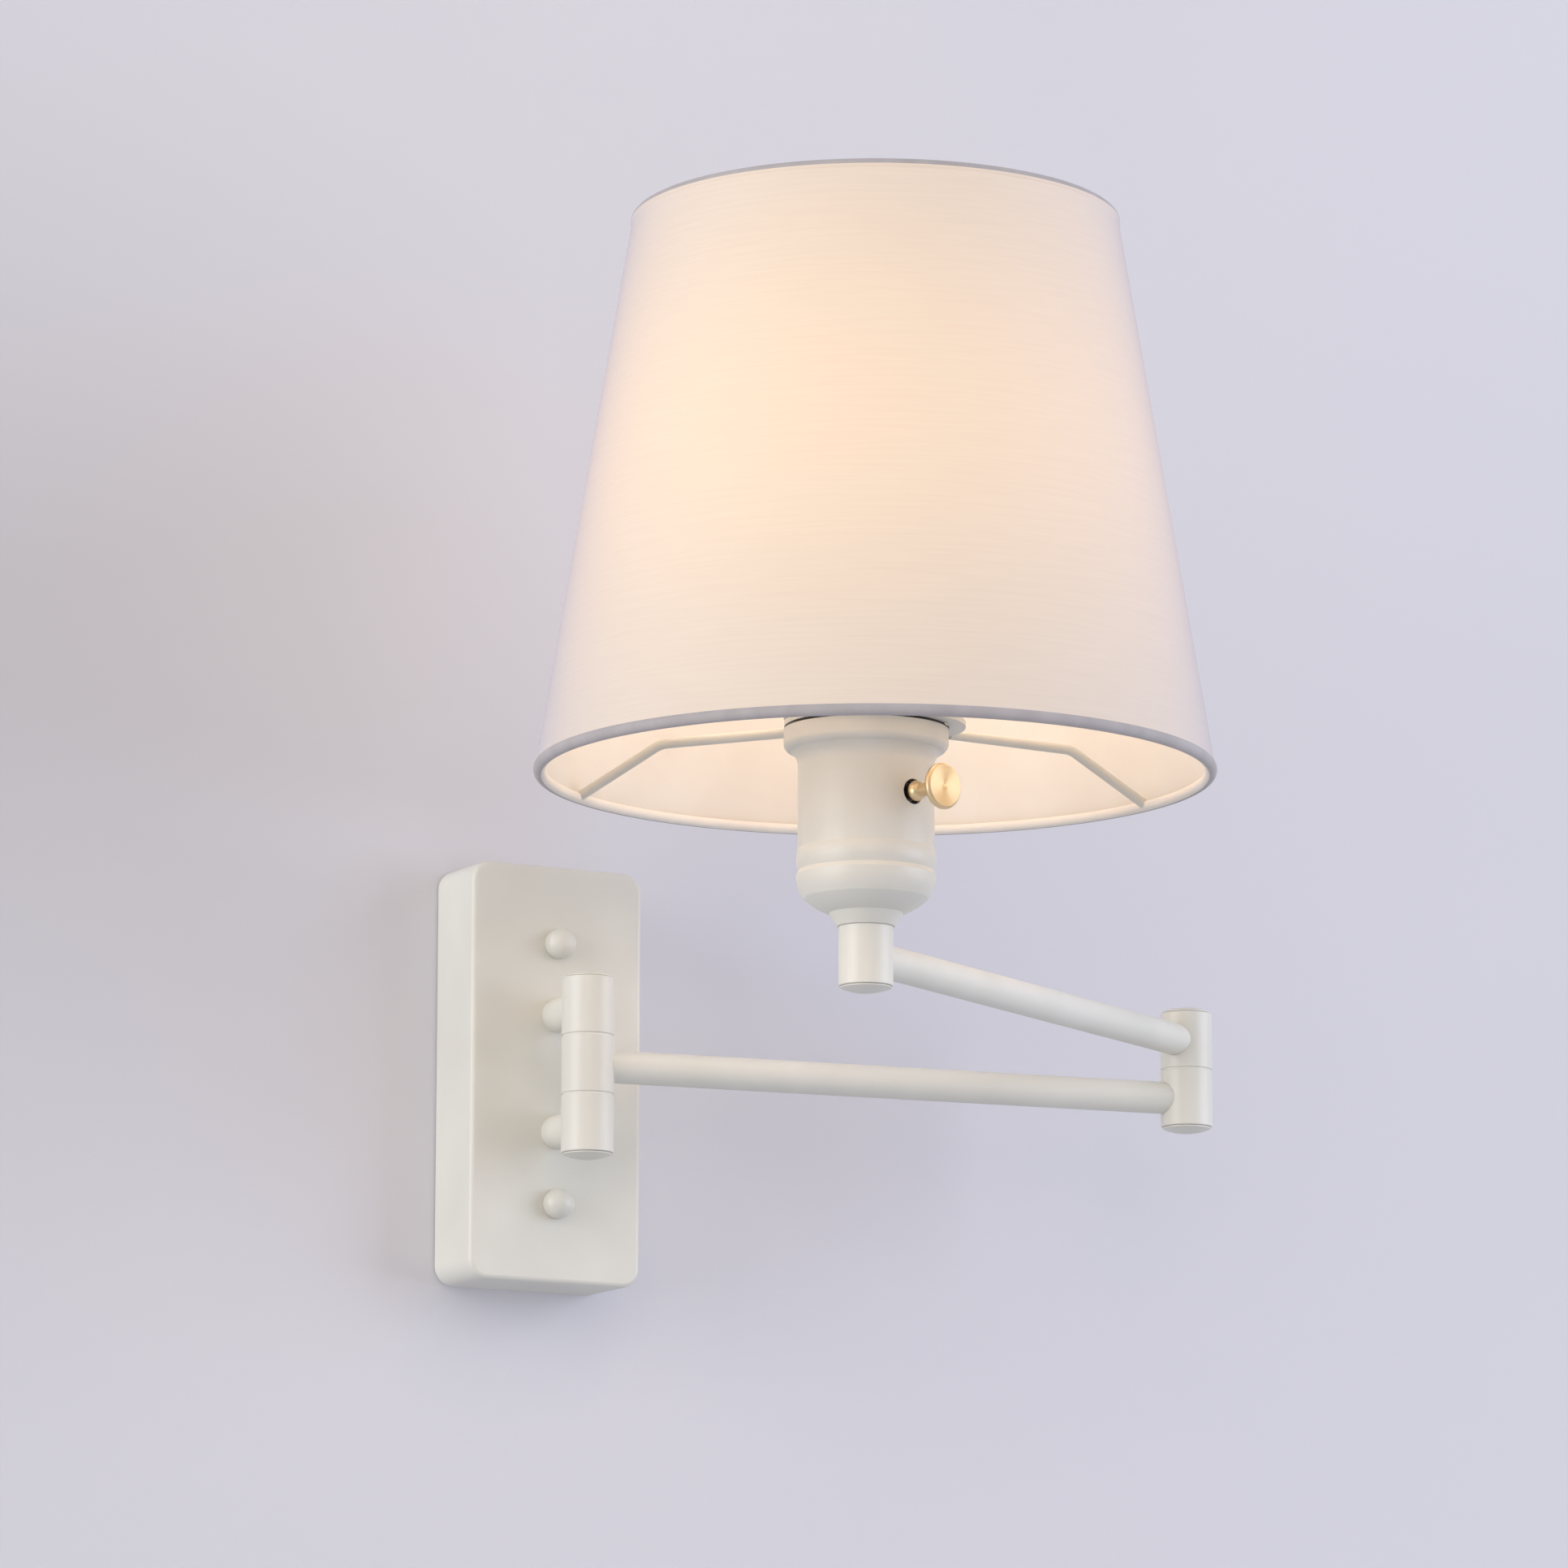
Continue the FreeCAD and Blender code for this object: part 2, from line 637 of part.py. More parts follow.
def lampholder_cup():
    """Spun cover: conical neck, bowl, bead, straight body and wide rim."""
    bore = pin_radius + fixed_clearance
    body = cup_body_radius
    inside = cup_body_radius - cup_wall
    rim = cup_rim_radius
    groove_top = cup_bowl_top + cup_groove_width
    bead_middle = (groove_top + cup_bead_top) / 2
    bowl_turn = (cup_crease_radius + 0.56 * (cup_bowl_radius - cup_crease_radius),
                 cup_neck_height + 0.44 * (cup_bowl_height - cup_neck_height))
    bowl_side = ((cup_bowl_radius + body + cup_bead_height) / 2 + cup_groove_depth,
                 (cup_bowl_height + cup_bowl_top) / 2 - cup_groove_width / 2)
    cove = (body + 0.1 * (rim - body), cup_body_top + 0.32 * (cup_rim_bottom - cup_body_top))
    under = (body + 0.5 * (rim - body), cup_body_top + 0.62 * (cup_rim_bottom - cup_body_top))
    swell = (body + 0.87 * (rim - body), cup_body_top + 0.74 * (cup_rim_bottom - cup_body_top))
    return turned((bore, 0), [
        ((cup_neck_radius, 0),),
        ((cup_crease_radius, cup_neck_height),),
        (bowl_turn, (cup_bowl_radius, cup_bowl_height)),
        (bowl_side, (body + cup_bead_height, cup_bowl_top)),
        ((body - cup_groove_depth, groove_top),),
        ((body + cup_bead_height, bead_middle), (body, cup_bead_top)),
        ((body, cup_body_top),),
        (cove, under),
        (swell, (rim, cup_rim_bottom)),
        ((rim, cup_height),),
        ((rim - cup_wall, cup_height),),
        ((rim - cup_wall, cup_rim_bottom),),
        ((inside, cup_body_top + cup_wall),),
        ((inside, groove_top),),
        ((cup_bowl_radius - cup_wall, cup_bowl_height + 1.8 * cup_wall),),
        ((cup_crease_radius + 2.3 * cup_wall, cup_floor),),
        ((bore, cup_floor),)])


def lampholder_base():
    """Insulating base on the nipple, open towards the switch."""
    bore = pin_radius + fixed_clearance
    boss = cup_floor + nipple_nut_height + seat_play
    floor = boss + base_boss_height
    outer = cup_body_radius - cup_wall - loose_clearance
    chamfer = base_floor
    return turned((bore, boss), [
        ((base_boss_radius, boss),), ((base_boss_radius, floor),), ((outer - chamfer / 2, floor),),
        ((outer, floor + chamfer),), ((outer, base_top),), ((outer - base_wall, base_top),),
        ((outer - base_wall, floor + base_floor),), ((bore, floor + base_floor),)])


def switch_cut(radius, start, end):
    """Cutter along the switch's axis, about the lamp's own axis."""
    centre = V(0, 0, switch_height)
    return rod(radius, centre + switch_direction * start, centre + switch_direction * end)


def lampholder_sleeve():
    """Insulating sleeve with the hub's seat and the outer thread for the ring nut."""
    outer = cup_body_radius - cup_wall - loose_clearance
    inner = outer - sleeve_wall
    bore = shell_radius + loose_clearance
    floor_low = contact_floor - contact_floor_thickness
    flange_low = cup_height - sleeve_flange_height
    body = turned((wire_hole_radius, floor_low), [
        ((inner, floor_low),), ((inner, carrier_top),), ((outer, carrier_top),),
        ((outer, flange_low - sleeve_cone_height),), ((sleeve_flange_radius, flange_low),),
        ((sleeve_flange_radius, cup_height),), ((sleeve_lip_radius, cup_height),),
        ((sleeve_lip_radius, hub_seat),), ((sleeve_thread_radius, hub_seat),),
        ((sleeve_thread_radius, sleeve_top),), ((bore, sleeve_top),), ((bore, contact_floor),),
        ((wire_hole_radius, contact_floor),)])
    return body.cut(switch_cut(bushing_radius + loose_clearance, inner - sleeve_wall, 2 * outer))


def screw_shell():
    """Lamp thread shell with a foot flange."""
    inner = shell_radius - shell_wall
    return turned((shell_flange_hole, contact_floor), [
        ((shell_radius, contact_floor),), ((shell_radius, contact_floor + shell_height),),
        ((inner, contact_floor + shell_height),), ((inner, contact_floor + shell_wall),),
        ((shell_flange_hole, contact_floor + shell_wall),)])


def centre_contact():
    """Bent spring tongue under the bulb's end contact."""
    foot = contact_floor
    top = foot + contact_rise
    reach = contact_length / 2
    skew = contact_thickness / 2
    start = -reach - contact_end
    end = reach - contact_end
    tongue = outline((start, foot), [
        ((-reach / 2, foot),), ((reach / 4, top),), ((end, top),),
        ((end, top + contact_thickness),), ((reach / 4 - skew, top + contact_thickness),),
        ((-reach / 2 - skew, foot + contact_thickness),), ((start, foot + contact_thickness),)])
    tongue.translate(V(0, -contact_width / 2, 0))
    return tongue.extrude(V(0, contact_width, 0))


def switch_body():
    """Rotary switch on the carrier, with its threaded bushing."""
    low = switch_height - switch_body_height / 2
    block = Part.makeBox(switch_front + switch_back, switch_width, switch_body_height,
                         V(-switch_back, -switch_width / 2, low))
    block.rotate(ORIGIN, Z_AXIS, switch_angle)
    body = block.fuse(switch_cut(bushing_radius, switch_front, bushing_end))
    return body.cut(switch_cut(spindle_radius + running_clearance, spindle_start - seat_play, bushing_end))


def bulb_section(inset):
    """Outer line of the bulb's glass, drawn in by an inset, from its foot to its top."""
    centre = bulb_foot + bulb_length - bulb_radius
    radius = bulb_radius - inset
    flare = math.radians(bulb_flare_angle)
    neck = bulb_cap_radius - bulb_cap_wall - seat_play - inset
    drop = inset * math.sin(flare)
    return [(neck, bulb_foot + bulb_glass_foot),
            (neck, bulb_cap_top + seat_play),
            (bulb_neck_radius - inset, bulb_foot + bulb_neck_height + drop),
            (bulb_waist_radius - inset, bulb_foot + bulb_waist_height + drop / 2),
            (radius * math.cos(flare), centre - radius * math.sin(flare)),
            (radius, centre),
            (0, centre + radius)]


def bulb_glass():
    """Opal glass globe with its neck inside the cap."""
    skin = []
    for inset in (0, bulb_glass_wall):
        foot, collar, neck, waist, flare, widest, top = bulb_section(inset)
        skin.append(turned((0, foot[1]), [(foot,), (collar,), (neck,), (waist, flare), (widest, top)]))
    return skin[0].cut(skin[1])


def bulb_cap():
    """Thin threaded cap of the bulb."""
    outer = bulb_cap_radius
    inner = bulb_cap_radius - bulb_cap_wall
    corner = bulb_cap_foot + bulb_cap_radius - bulb_cap_mouth
    return turned((bulb_cap_mouth, bulb_cap_foot), [
        ((outer, corner),), ((outer, bulb_cap_top),), ((inner, bulb_cap_top),),
        ((inner, corner + bulb_cap_wall / 2),), ((bulb_cap_mouth, bulb_cap_foot + bulb_cap_wall),)])


def bulb_insulator():
    """Glass bead between the bulb's cap and its end contact."""
    low = bulb_foot + bulb_contact_height
    high = bulb_cap_foot + bulb_cap_wall
    return turned((0, low), [((bulb_contact_radius + bulb_contact_height, low),),
                             ((bulb_cap_mouth, bulb_cap_foot),), ((bulb_cap_mouth, high),), ((0, high),)])


def bulb_contact():
    """End contact of the bulb."""
    top = bulb_foot + bulb_contact_height
    return turned((0, bulb_foot), [((bulb_contact_radius - bulb_contact_height, bulb_foot),),
                                   ((bulb_contact_radius, top),), ((0, top),)])


def shade_ring_nut():
    """Flanged ring nut that holds the hub down on the lampholder."""
    low = hub_seat + hub_thickness
    flange_low = low + shade_nut_foot
    flange_high = flange_low + ring_nut_flange
    bore = sleeve_thread_radius + fixed_clearance
    return turned((bore, low), [
        ((shade_nut_radius, low),), ((shade_nut_radius, flange_low),),
        ((ring_nut_flange_radius, flange_low),), ((ring_nut_flange_radius, flange_high),),
        ((shade_nut_radius, flange_high + shade_nut_slope),), ((shade_nut_radius, low + shade_nut_height),),
        ((bore, low + shade_nut_height),)])


def shade_spoke(angle, wire):
    """Bent wire from the hub's edge to the bottom ring, about the shade's own axis."""
    out = heading(angle)
    start = out * (hub_radius - wire) + V(0, 0, hub_middle)
    knee = out * spoke_flat_length + V(0, 0, hub_middle)
    end = out * ring_bottom_radius + V(0, 0, ring_bottom_level)
    down = (end - knee).normalize()
    cosine = out.dot(down)
    half_turn = math.acos(cosine) / 2
    trim = spoke_bend_radius * math.tan(half_turn)
    first = knee - out * trim
    last = knee + down * trim
    inward = (down - out).normalize()
    middle = knee + inward * (spoke_bend_radius / math.cos(half_turn) - spoke_bend_radius)
    path = Part.Wire([Part.LineSegment(start, first).toShape(),
                      Part.Arc(first, middle, last).toShape(),
                      Part.LineSegment(last, end).toShape()])
    section = Part.Wire(Part.makeCircle(wire, start, out))
    return path.makePipeShell([section], True, False)


def shade_spokes():
    """Spokes, cut to the hub's edge and to the ring that they are welded to."""
    hub = Part.makeCylinder(hub_radius, 4 * spoke_radius, V(0, 0, hub_middle - 2 * spoke_radius))
    bottom = hoop(ring_bottom_radius, ring_bottom_level, ring_wire_radius)
    return [shade_spoke(angle, spoke_radius).cut(hub).cut(bottom) for angle in spoke_angles()]


def spoke_angles():
    """Directions of the spokes."""
    return [spoke_angle + i * 360 / spoke_count for i in range(spoke_count)]


def hoop(radius, level, wire):
    """Round wire bent to a circle about the shade's axis."""
    return Part.makeTorus(radius, wire, V(0, 0, level), Z_AXIS)


def shade_fabric():
    """Laminated drum whose edges are rolled round the wire hoops, each roll with a narrow slit."""
    ends = [(ring_bottom_radius, ring_bottom_level), (ring_top_radius, ring_top_level)]
    low, high = [V(radius, 0, level) for radius, level in ends]
    along = (high - low).normalize()
    outward = V(along.z, 0, -along.x)
    outer = outward * (hem_radius - hem_bulge)
    inner = outward * (hem_radius - hem_bulge - shade_wall)
    corners = [low + outer, high + outer, high + inner, low + inner]
    skin = Part.Face(Part.makePolygon(corners + corners[:1])).revolve(ORIGIN, Z_AXIS, 360)
    for radius, level in ends:
        skin = skin.fuse(hoop(radius, level, hem_radius))
    for middle, side in ((low, 1), (high, -1)):
        skin = skin.cut(hoop(middle.x, middle.z, ring_wire_radius + hem_clearance))
        way = (along * side - outward).normalize() * (2 * hem_radius)
        across = V(-way.z, 0, way.x).normalize() * (hem_slit / 2)
        slit = [middle - across, middle + across, middle + across + way, middle - across + way]
        skin = skin.cut(Part.Face(Part.makePolygon(slit + slit[:1])).revolve(ORIGIN, Z_AXIS, 360))
    for angle in spoke_angles():
        skin = skin.cut(shade_spoke(angle, spoke_radius + seat_play))
    return skin


def outer_arm():
    """Arm from the elbow to the lamp head, and all that the head carries."""
    low = upper_level - knuckle_height / 2
    high = upper_level + knuckle_height / 2
    upper = knuckle(upper_level, pin_radius + running_clearance, 1)
    head = knuckle(upper_level, pin_radius + fixed_clearance, -1)
    nipple_top = cup_floor + nipple_nut_height + seat_play + base_boss_height + base_floor
    nipple = hinge_pin(low + end_cap_spigot + seat_play, cup_foot + nipple_top,
                       [(upper_level, -outer_direction, 0)])
    elbow = upper.cut(socket(upper_level, outer_direction, arm_radius))
    bottom_hoop = hoop(ring_bottom_radius, ring_bottom_level, ring_wire_radius)
    top_hoop = hoop(ring_top_radius, ring_top_level, ring_wire_radius)
    cup_level = lamp_axis + V(0, 0, cup_foot)
    cup = lampholder_cup().cut(switch_cut(switch_hole_radius, switch_front, 2 * cup_body_radius))
    lock_nut = hex_nut(nipple_nut_flats, nipple_nut_height, pin_radius + fixed_clearance)
    carrier = ring(wire_hole_radius, cup_body_radius - cup_wall - loose_clearance, base_top, carrier_top)
    board = Part.makeCylinder(board_radius, board_thickness, V(0, 0, bulb_foot + board_height))
    hub = ring(hub_bore_radius, hub_radius, hub_bottom, hub_bottom + hub_thickness)
    return {
        "elbow_knuckle_upper": placed(elbow, elbow_axis),
        "elbow_cap_upper": placed(end_cap(high, 1), elbow_axis),
        "outer_arm_tube": arm_tube(elbow_axis, lamp_axis, upper_level),
        "head_knuckle": placed(head.cut(socket(upper_level, -outer_direction, arm_radius)), lamp_axis),
        "head_cap": placed(end_cap(low, -1), lamp_axis),
        "lampholder_nipple": placed(nipple, lamp_axis),
        "nipple_nuts": [placed(ring_nut(low, -1), lamp_axis),
                        placed(lock_nut, cup_level + V(0, 0, cup_floor))],
        "lampholder_cup": placed(cup, cup_level),
        "lampholder_base": placed(lampholder_base(), cup_level),
        "switch_carrier": placed(carrier, cup_level),
        "switch_body": placed(switch_body(), cup_level),
        "lampholder_sleeve": placed(lampholder_sleeve(), cup_level),
        "screw_shell": placed(screw_shell(), cup_level),
        "centre_contact": placed(centre_contact(), cup_level),
        "bulb_glass": placed(bulb_glass(), cup_level),
        "bulb_board": placed(board, cup_level),
        "bulb_cap": placed(bulb_cap(), cup_level),
        "bulb_insulator": placed(bulb_insulator(), cup_level),
        "bulb_contact": placed(bulb_contact(), cup_level),
        "shade_ring_nut": placed(shade_ring_nut(), cup_level),
        "shade_hub": placed(hub, shade_axis),
        "shade_spokes": [placed(spoke, shade_axis) for spoke in shade_spokes()],
        "shade_ring_bottom": placed(bottom_hoop, shade_axis),
        "shade_ring_top": placed(top_hoop, shade_axis),
        "shade_fabric": placed(shade_fabric(), shade_axis),
    }


# ---- Switch key ----

def switch_key():
    """Turned brass key: ball, thin neck and a slightly dished disc."""
    bore = spindle_radius + fixed_clearance
    ball_middle = key_start + key_ball_length / 2
    ball_end = key_start + key_ball_length
    disc = key_start + key_ball_length + key_neck_length
    flare = key_neck_radius + 0.3 * (key_disc_radius - key_neck_radius)
    edge = key_disc_radius - key_disc_thickness / 3
    face = disc + key_disc_thickness
    return turned((bore, key_start), [
        ((key_collar_radius, key_start),),
        ((key_ball_radius, ball_middle), (key_neck_radius, ball_end)),
        ((key_neck_radius, disc - key_disc_thickness),),
        ((key_neck_radius + (flare - key_neck_radius) / 5, disc - key_disc_thickness / 3), (flare, disc)),
        ((edge, disc),),
        ((key_disc_radius, disc + key_disc_thickness / 2), (edge, face)),
        (dome_middle(edge, face, -key_dish), (0, face - key_dish)),
        ((0, key_start + key_bore_length),),
        ((bore, key_start + key_bore_length),)])


def switch_knob():
    """Spindle and key, which turn together."""
    base = lamp_axis + V(0, 0, cup_foot + switch_height)
    spindle = Part.makeCylinder(spindle_radius, key_start + key_bore_length - spindle_start - seat_play,
                                V(0, 0, spindle_start))
    return {
        "switch_spindle": placed(spindle, base, switch_direction),
        "switch_key": placed(switch_key(), base, switch_direction),
    }


os.makedirs("parts", exist_ok=True)
for section in (wall_mount(), inner_arm(), outer_arm(), switch_knob()):
    for name, shape in section.items():
        solid = Part.makeCompound(shape) if isinstance(shape, list) else shape
        solid.exportStep("parts/" + name + ".step")
        print(name, "valid" if solid.isValid() else "NOT VALID", len(solid.Solids), round(solid.Volume, 1))
print("elbow axis", elbow_axis, "lamp axis", lamp_axis, "shade axis", shade_axis)
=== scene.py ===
"""Wall lamp on a double swing arm: finishes, soft shade and the studio."""

import json
import logging
import math
from dataclasses import dataclass, field, replace
from enum import Enum

import bpy
from mathutils import Matrix, Vector

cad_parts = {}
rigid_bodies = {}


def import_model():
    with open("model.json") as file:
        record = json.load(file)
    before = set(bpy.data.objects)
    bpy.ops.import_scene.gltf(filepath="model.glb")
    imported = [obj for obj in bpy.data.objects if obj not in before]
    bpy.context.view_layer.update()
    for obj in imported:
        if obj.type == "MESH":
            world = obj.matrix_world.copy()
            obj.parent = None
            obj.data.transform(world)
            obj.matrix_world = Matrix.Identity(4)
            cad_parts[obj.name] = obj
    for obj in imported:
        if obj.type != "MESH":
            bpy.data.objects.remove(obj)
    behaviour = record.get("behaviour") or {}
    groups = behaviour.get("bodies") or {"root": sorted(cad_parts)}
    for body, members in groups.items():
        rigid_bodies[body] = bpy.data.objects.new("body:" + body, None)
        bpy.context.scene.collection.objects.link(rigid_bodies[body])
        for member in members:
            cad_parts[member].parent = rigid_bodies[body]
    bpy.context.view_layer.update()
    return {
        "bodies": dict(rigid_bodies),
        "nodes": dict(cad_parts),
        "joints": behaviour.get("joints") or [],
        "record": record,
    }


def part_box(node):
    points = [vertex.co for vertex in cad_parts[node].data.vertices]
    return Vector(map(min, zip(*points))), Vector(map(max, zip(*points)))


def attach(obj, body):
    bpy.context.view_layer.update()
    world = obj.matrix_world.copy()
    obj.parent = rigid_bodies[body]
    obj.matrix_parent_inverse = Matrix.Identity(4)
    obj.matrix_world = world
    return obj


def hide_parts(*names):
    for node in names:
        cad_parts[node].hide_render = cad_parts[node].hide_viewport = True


logger = logging.getLogger("wall_lamp")

MM = 0.001
# The wave texture makes this many waves in one unit at scale 1.
WAVES = 20 / (2 * math.pi)
# Turned points closer than this are one point.
WELD = 0.002 * MM
# Edges that turn by less than this are shaded smooth, in degrees.
SMOOTH_UNDER = 35
Colour = tuple[float, float, float, float]
Point = tuple[float, float]
Place = tuple[float, float, float]


class Body(Enum):
    """Rigid bodies that the pieces ride on."""

    WALL = "wall_mount"
    INNER = "inner_arm"
    OUTER = "outer_arm"
    KEY = "switch_knob"


# ---- Materials ----


def linear(code: str) -> Colour:
    """Turn an sRGB hex colour into linear values.

    Args:
        code: Colour such as "#E4E1D8".

    Returns:
        Red, green, blue and alpha for a shader socket.
    """
    parts = [int(code[i:i + 2], 16) / 255 for i in (1, 3, 5)]
    red, green, blue = [p / 12.92 if p <= 0.04045 else ((p + 0.055) / 1.055) ** 2.4
                        for p in parts]
    return (red, green, blue, 1.0)


def add(tree: bpy.types.NodeTree, kind: str, settings: dict | None = None,
        inputs: dict | None = None) -> bpy.types.Node:
    """Add a node with its settings, values and links.

    Args:
        tree: Node tree that gets the node.
        kind: Blender's name for the node type.
        settings: Properties of the node.
        inputs: Value or output socket for each input, by name or number.

    Returns:
        The new node.
    """
    node = tree.nodes.new(kind)
    for key, value in (settings or {}).items():
        setattr(node, key, value)
    for key, value in (inputs or {}).items():
        if isinstance(value, bpy.types.NodeSocket):
            tree.links.new(value, node.inputs[key])
        else:
            node.inputs[key].default_value = value
    return node


def shown_rays(tree: bpy.types.NodeTree) -> bpy.types.NodeSocket:
    """Return 1 for camera, glossy and transmission rays, and 0 for all others.

    Args:
        tree: Node tree that gets the nodes.

    Returns:
        The factor's socket.
    """
    path = add(tree, "ShaderNodeLightPath")
    seen = add(tree, "ShaderNodeMath", {"operation": "MAXIMUM"},
               {0: path.outputs["Is Camera Ray"], 1: path.outputs["Is Glossy Ray"]})
    shown = add(tree, "ShaderNodeMath", {"operation": "MAXIMUM"},
                {0: seen.outputs[0], 1: path.outputs["Is Transmission Ray"]})
    return shown.outputs[0]


@dataclass(frozen=True)
class Finish:
    """Surface finish that is built once as a material.

    Attributes:
        name: Real name of the material and how its surface was made.
        colour: Main colour, sRGB hex.
        roughness: Roughness of the shader.
    """

    name: str
    colour: str
    roughness: float

    def build(self) -> bpy.types.Material:
        """Return the finished material, made on first use."""
        made = bpy.data.materials.get(self.name)
        if made:
            return made
        material = bpy.data.materials.new(self.name)
        material.use_nodes = True
        tree = material.node_tree
        shader = tree.nodes["Principled BSDF"]
        shader.inputs["Base Color"].default_value = linear(self.colour)
        shader.inputs["Roughness"].default_value = self.roughness
        self.pattern(tree, shader)
        return material

    def pattern(self, tree: bpy.types.NodeTree, shader: bpy.types.Node) -> None:
        """Add the finish's own nodes.

        Args:
            tree: The material's node tree.
            shader: Its Principled shader.
        """

    def grain(self, tree: bpy.types.NodeTree, size: float, detail: float = 2.0,
              stretch: Place = (1, 1, 1)) -> bpy.types.NodeSocket:
        """Return a noise on object coordinates.

        Args:
            tree: The material's node tree.
            size: Width of the grain in metres.
            detail: Octaves of the noise.
            stretch: Scale along each axis.

        Returns:
            The noise's factor, from 0 to 1.
        """
        place = add(tree, "ShaderNodeTexCoord")
        scaled = add(tree, "ShaderNodeMapping",
                     inputs={0: place.outputs["Object"], "Scale": stretch})
        noise = add(tree, "ShaderNodeTexNoise",
                    inputs={"Vector": scaled.outputs[0], "Scale": 1 / size, "Detail": detail})
        return noise.outputs[0]

    def relief(self, tree: bpy.types.NodeTree, shader: bpy.types.Node,
               height: bpy.types.NodeSocket, depth: float, strength: float = 1.0) -> None:
        """Link a height to the shader's normal.

        Args:
            tree: The material's node tree.
            shader: Its Principled shader.
            height: Height from 0 to 1.
            depth: What a height of 1 stands for, in metres.
            strength: Strength of the bump.
        """
        bump = add(tree, "ShaderNodeBump",
                   inputs={"Height": height, "Distance": depth, "Strength": strength})
        tree.links.new(bump.outputs[0], shader.inputs["Normal"])

    def mottle(self, tree: bpy.types.NodeTree, shader: bpy.types.Node, size: float,
               other: str) -> None:
        """Let the base colour drift to another one in soft patches.

        Args:
            tree: The material's node tree.
            shader: Its Principled shader.
            size: Width of a patch in metres.
            other: The other colour, sRGB hex.
        """
        self.two_tone(tree, shader, self.grain(tree, size), other, (0.35, 0.65))

    def two_tone(self, tree: bpy.types.NodeTree, shader: bpy.types.Node,
                 factor: bpy.types.NodeSocket, other: str, stops: tuple[float, float]) -> None:
        """Run the base colour from another one to the finish's own.

        Args:
            tree: The material's node tree.
            shader: Its Principled shader.
            factor: What decides between the colours, from 0 to 1.
            other: The other colour, sRGB hex.
            stops: Factors where the other colour ends and the finish's own begins.
        """
        ramp = add(tree, "ShaderNodeValToRGB", inputs={0: factor})
        for element, stop, code in zip(ramp.color_ramp.elements, stops, (other, self.colour)):
            element.position = stop
            element.color = linear(code)
        tree.links.new(ramp.outputs[0], shader.inputs["Base Color"])


@dataclass(frozen=True)
class PowderCoat(Finish):
    """Baked epoxy powder on steel: matt, with the faint orange peel of melted grains."""

    shade: str = "#DEDBD1"
    peel: float = 1.3 * MM
    peel_depth: float = 0.012 * MM

    def pattern(self, tree: bpy.types.NodeTree, shader: bpy.types.Node) -> None:
        """Add orange peel and a slight drift of colour."""
        self.mottle(tree, shader, 40 * MM, self.shade)
        self.relief(tree, shader, self.grain(tree, self.peel), self.peel_depth)


@dataclass(frozen=True)
class Plated(Finish):
    """Zinc or nickel on steel: a soft metal sheen, uneven where it was handled."""

    other: str = "#A9ABA8"

    def pattern(self, tree: bpy.types.NodeTree, shader: bpy.types.Node) -> None:
        """Make it metal, with a cloudy plating and fine drawn lines."""
        shader.inputs["Metallic"].default_value = 1.0
        self.mottle(tree, shader, 4 * MM, self.other)
        self.relief(tree, shader, self.grain(tree, 0.5 * MM, stretch=(1, 1, 8)), 0.01 * MM)


@dataclass(frozen=True)
class TurnedBrass(Finish):
    """Lacquered brass as it left the lathe: fine rings that draw the light into a cone.

    The real tool marks are some 0.05 mm apart; they are drawn 0.45 mm apart so that they show.
    """

    centre: Place = (0, 0, 0)
    axis: Place = (1, 0, 0)
    pitch: float = 0.45 * MM

    def pattern(self, tree: bpy.types.NodeTree, shader: bpy.types.Node) -> None:
        """Make it metal, with rings about the key's axis."""
        shader.inputs["Metallic"].default_value = 1.0
        shader.inputs["Anisotropic"].default_value = 0.8
        place = add(tree, "ShaderNodeTexCoord")
        turned = add(tree, "ShaderNodeMapping", {"vector_type": "TEXTURE"},
                     {0: place.outputs["Object"], "Location": self.centre,
                      "Rotation": (0, 0, math.atan2(self.axis[1], self.axis[0]))})
        rings = add(tree, "ShaderNodeTexWave", {"wave_type": "RINGS", "rings_direction": "X"},
                    {"Vector": turned.outputs[0], "Scale": 1 / (self.pitch * WAVES),
                     "Distortion": 0.4, "Detail": 1.0})
        self.relief(tree, shader, rings.outputs["Fac"], 0.003 * MM)
        arm = add(tree, "ShaderNodeVectorMath", {"operation": "SUBTRACT"},
                  {0: place.outputs["Object"], 1: self.centre})
        around = add(tree, "ShaderNodeVectorMath", {"operation": "CROSS_PRODUCT"},
                     {0: self.axis, 1: arm.outputs[0]})
        turning = add(tree, "ShaderNodeVectorTransform",
                      {"vector_type": "VECTOR", "convert_from": "OBJECT", "convert_to": "WORLD"},
                      {0: around.outputs[0]})
        tangent = add(tree, "ShaderNodeVectorMath", {"operation": "NORMALIZE"},
                      {0: turning.outputs[0]})
        tree.links.new(tangent.outputs[0], shader.inputs["Tangent"])


@dataclass(frozen=True)
class Moulded(Finish):
    """Injection-moulded plastic: even colour with a fine spark-eroded grain."""

    grit: float = 0.4 * MM
    wear: float = 0.06

    def pattern(self, tree: bpy.types.NodeTree, shader: bpy.types.Node) -> None:
        """Add the grain of the mould."""
        shader.inputs["IOR"].default_value = 1.49
        self.relief(tree, shader, self.grain(tree, self.grit), 0.008 * MM)
        drift = add(tree, "ShaderNodeMapRange",
                    inputs={0: self.grain(tree, 12 * MM), "To Min": self.roughness - self.wear,
                            "To Max": self.roughness + self.wear})
        tree.links.new(drift.outputs[0], shader.inputs["Roughness"])


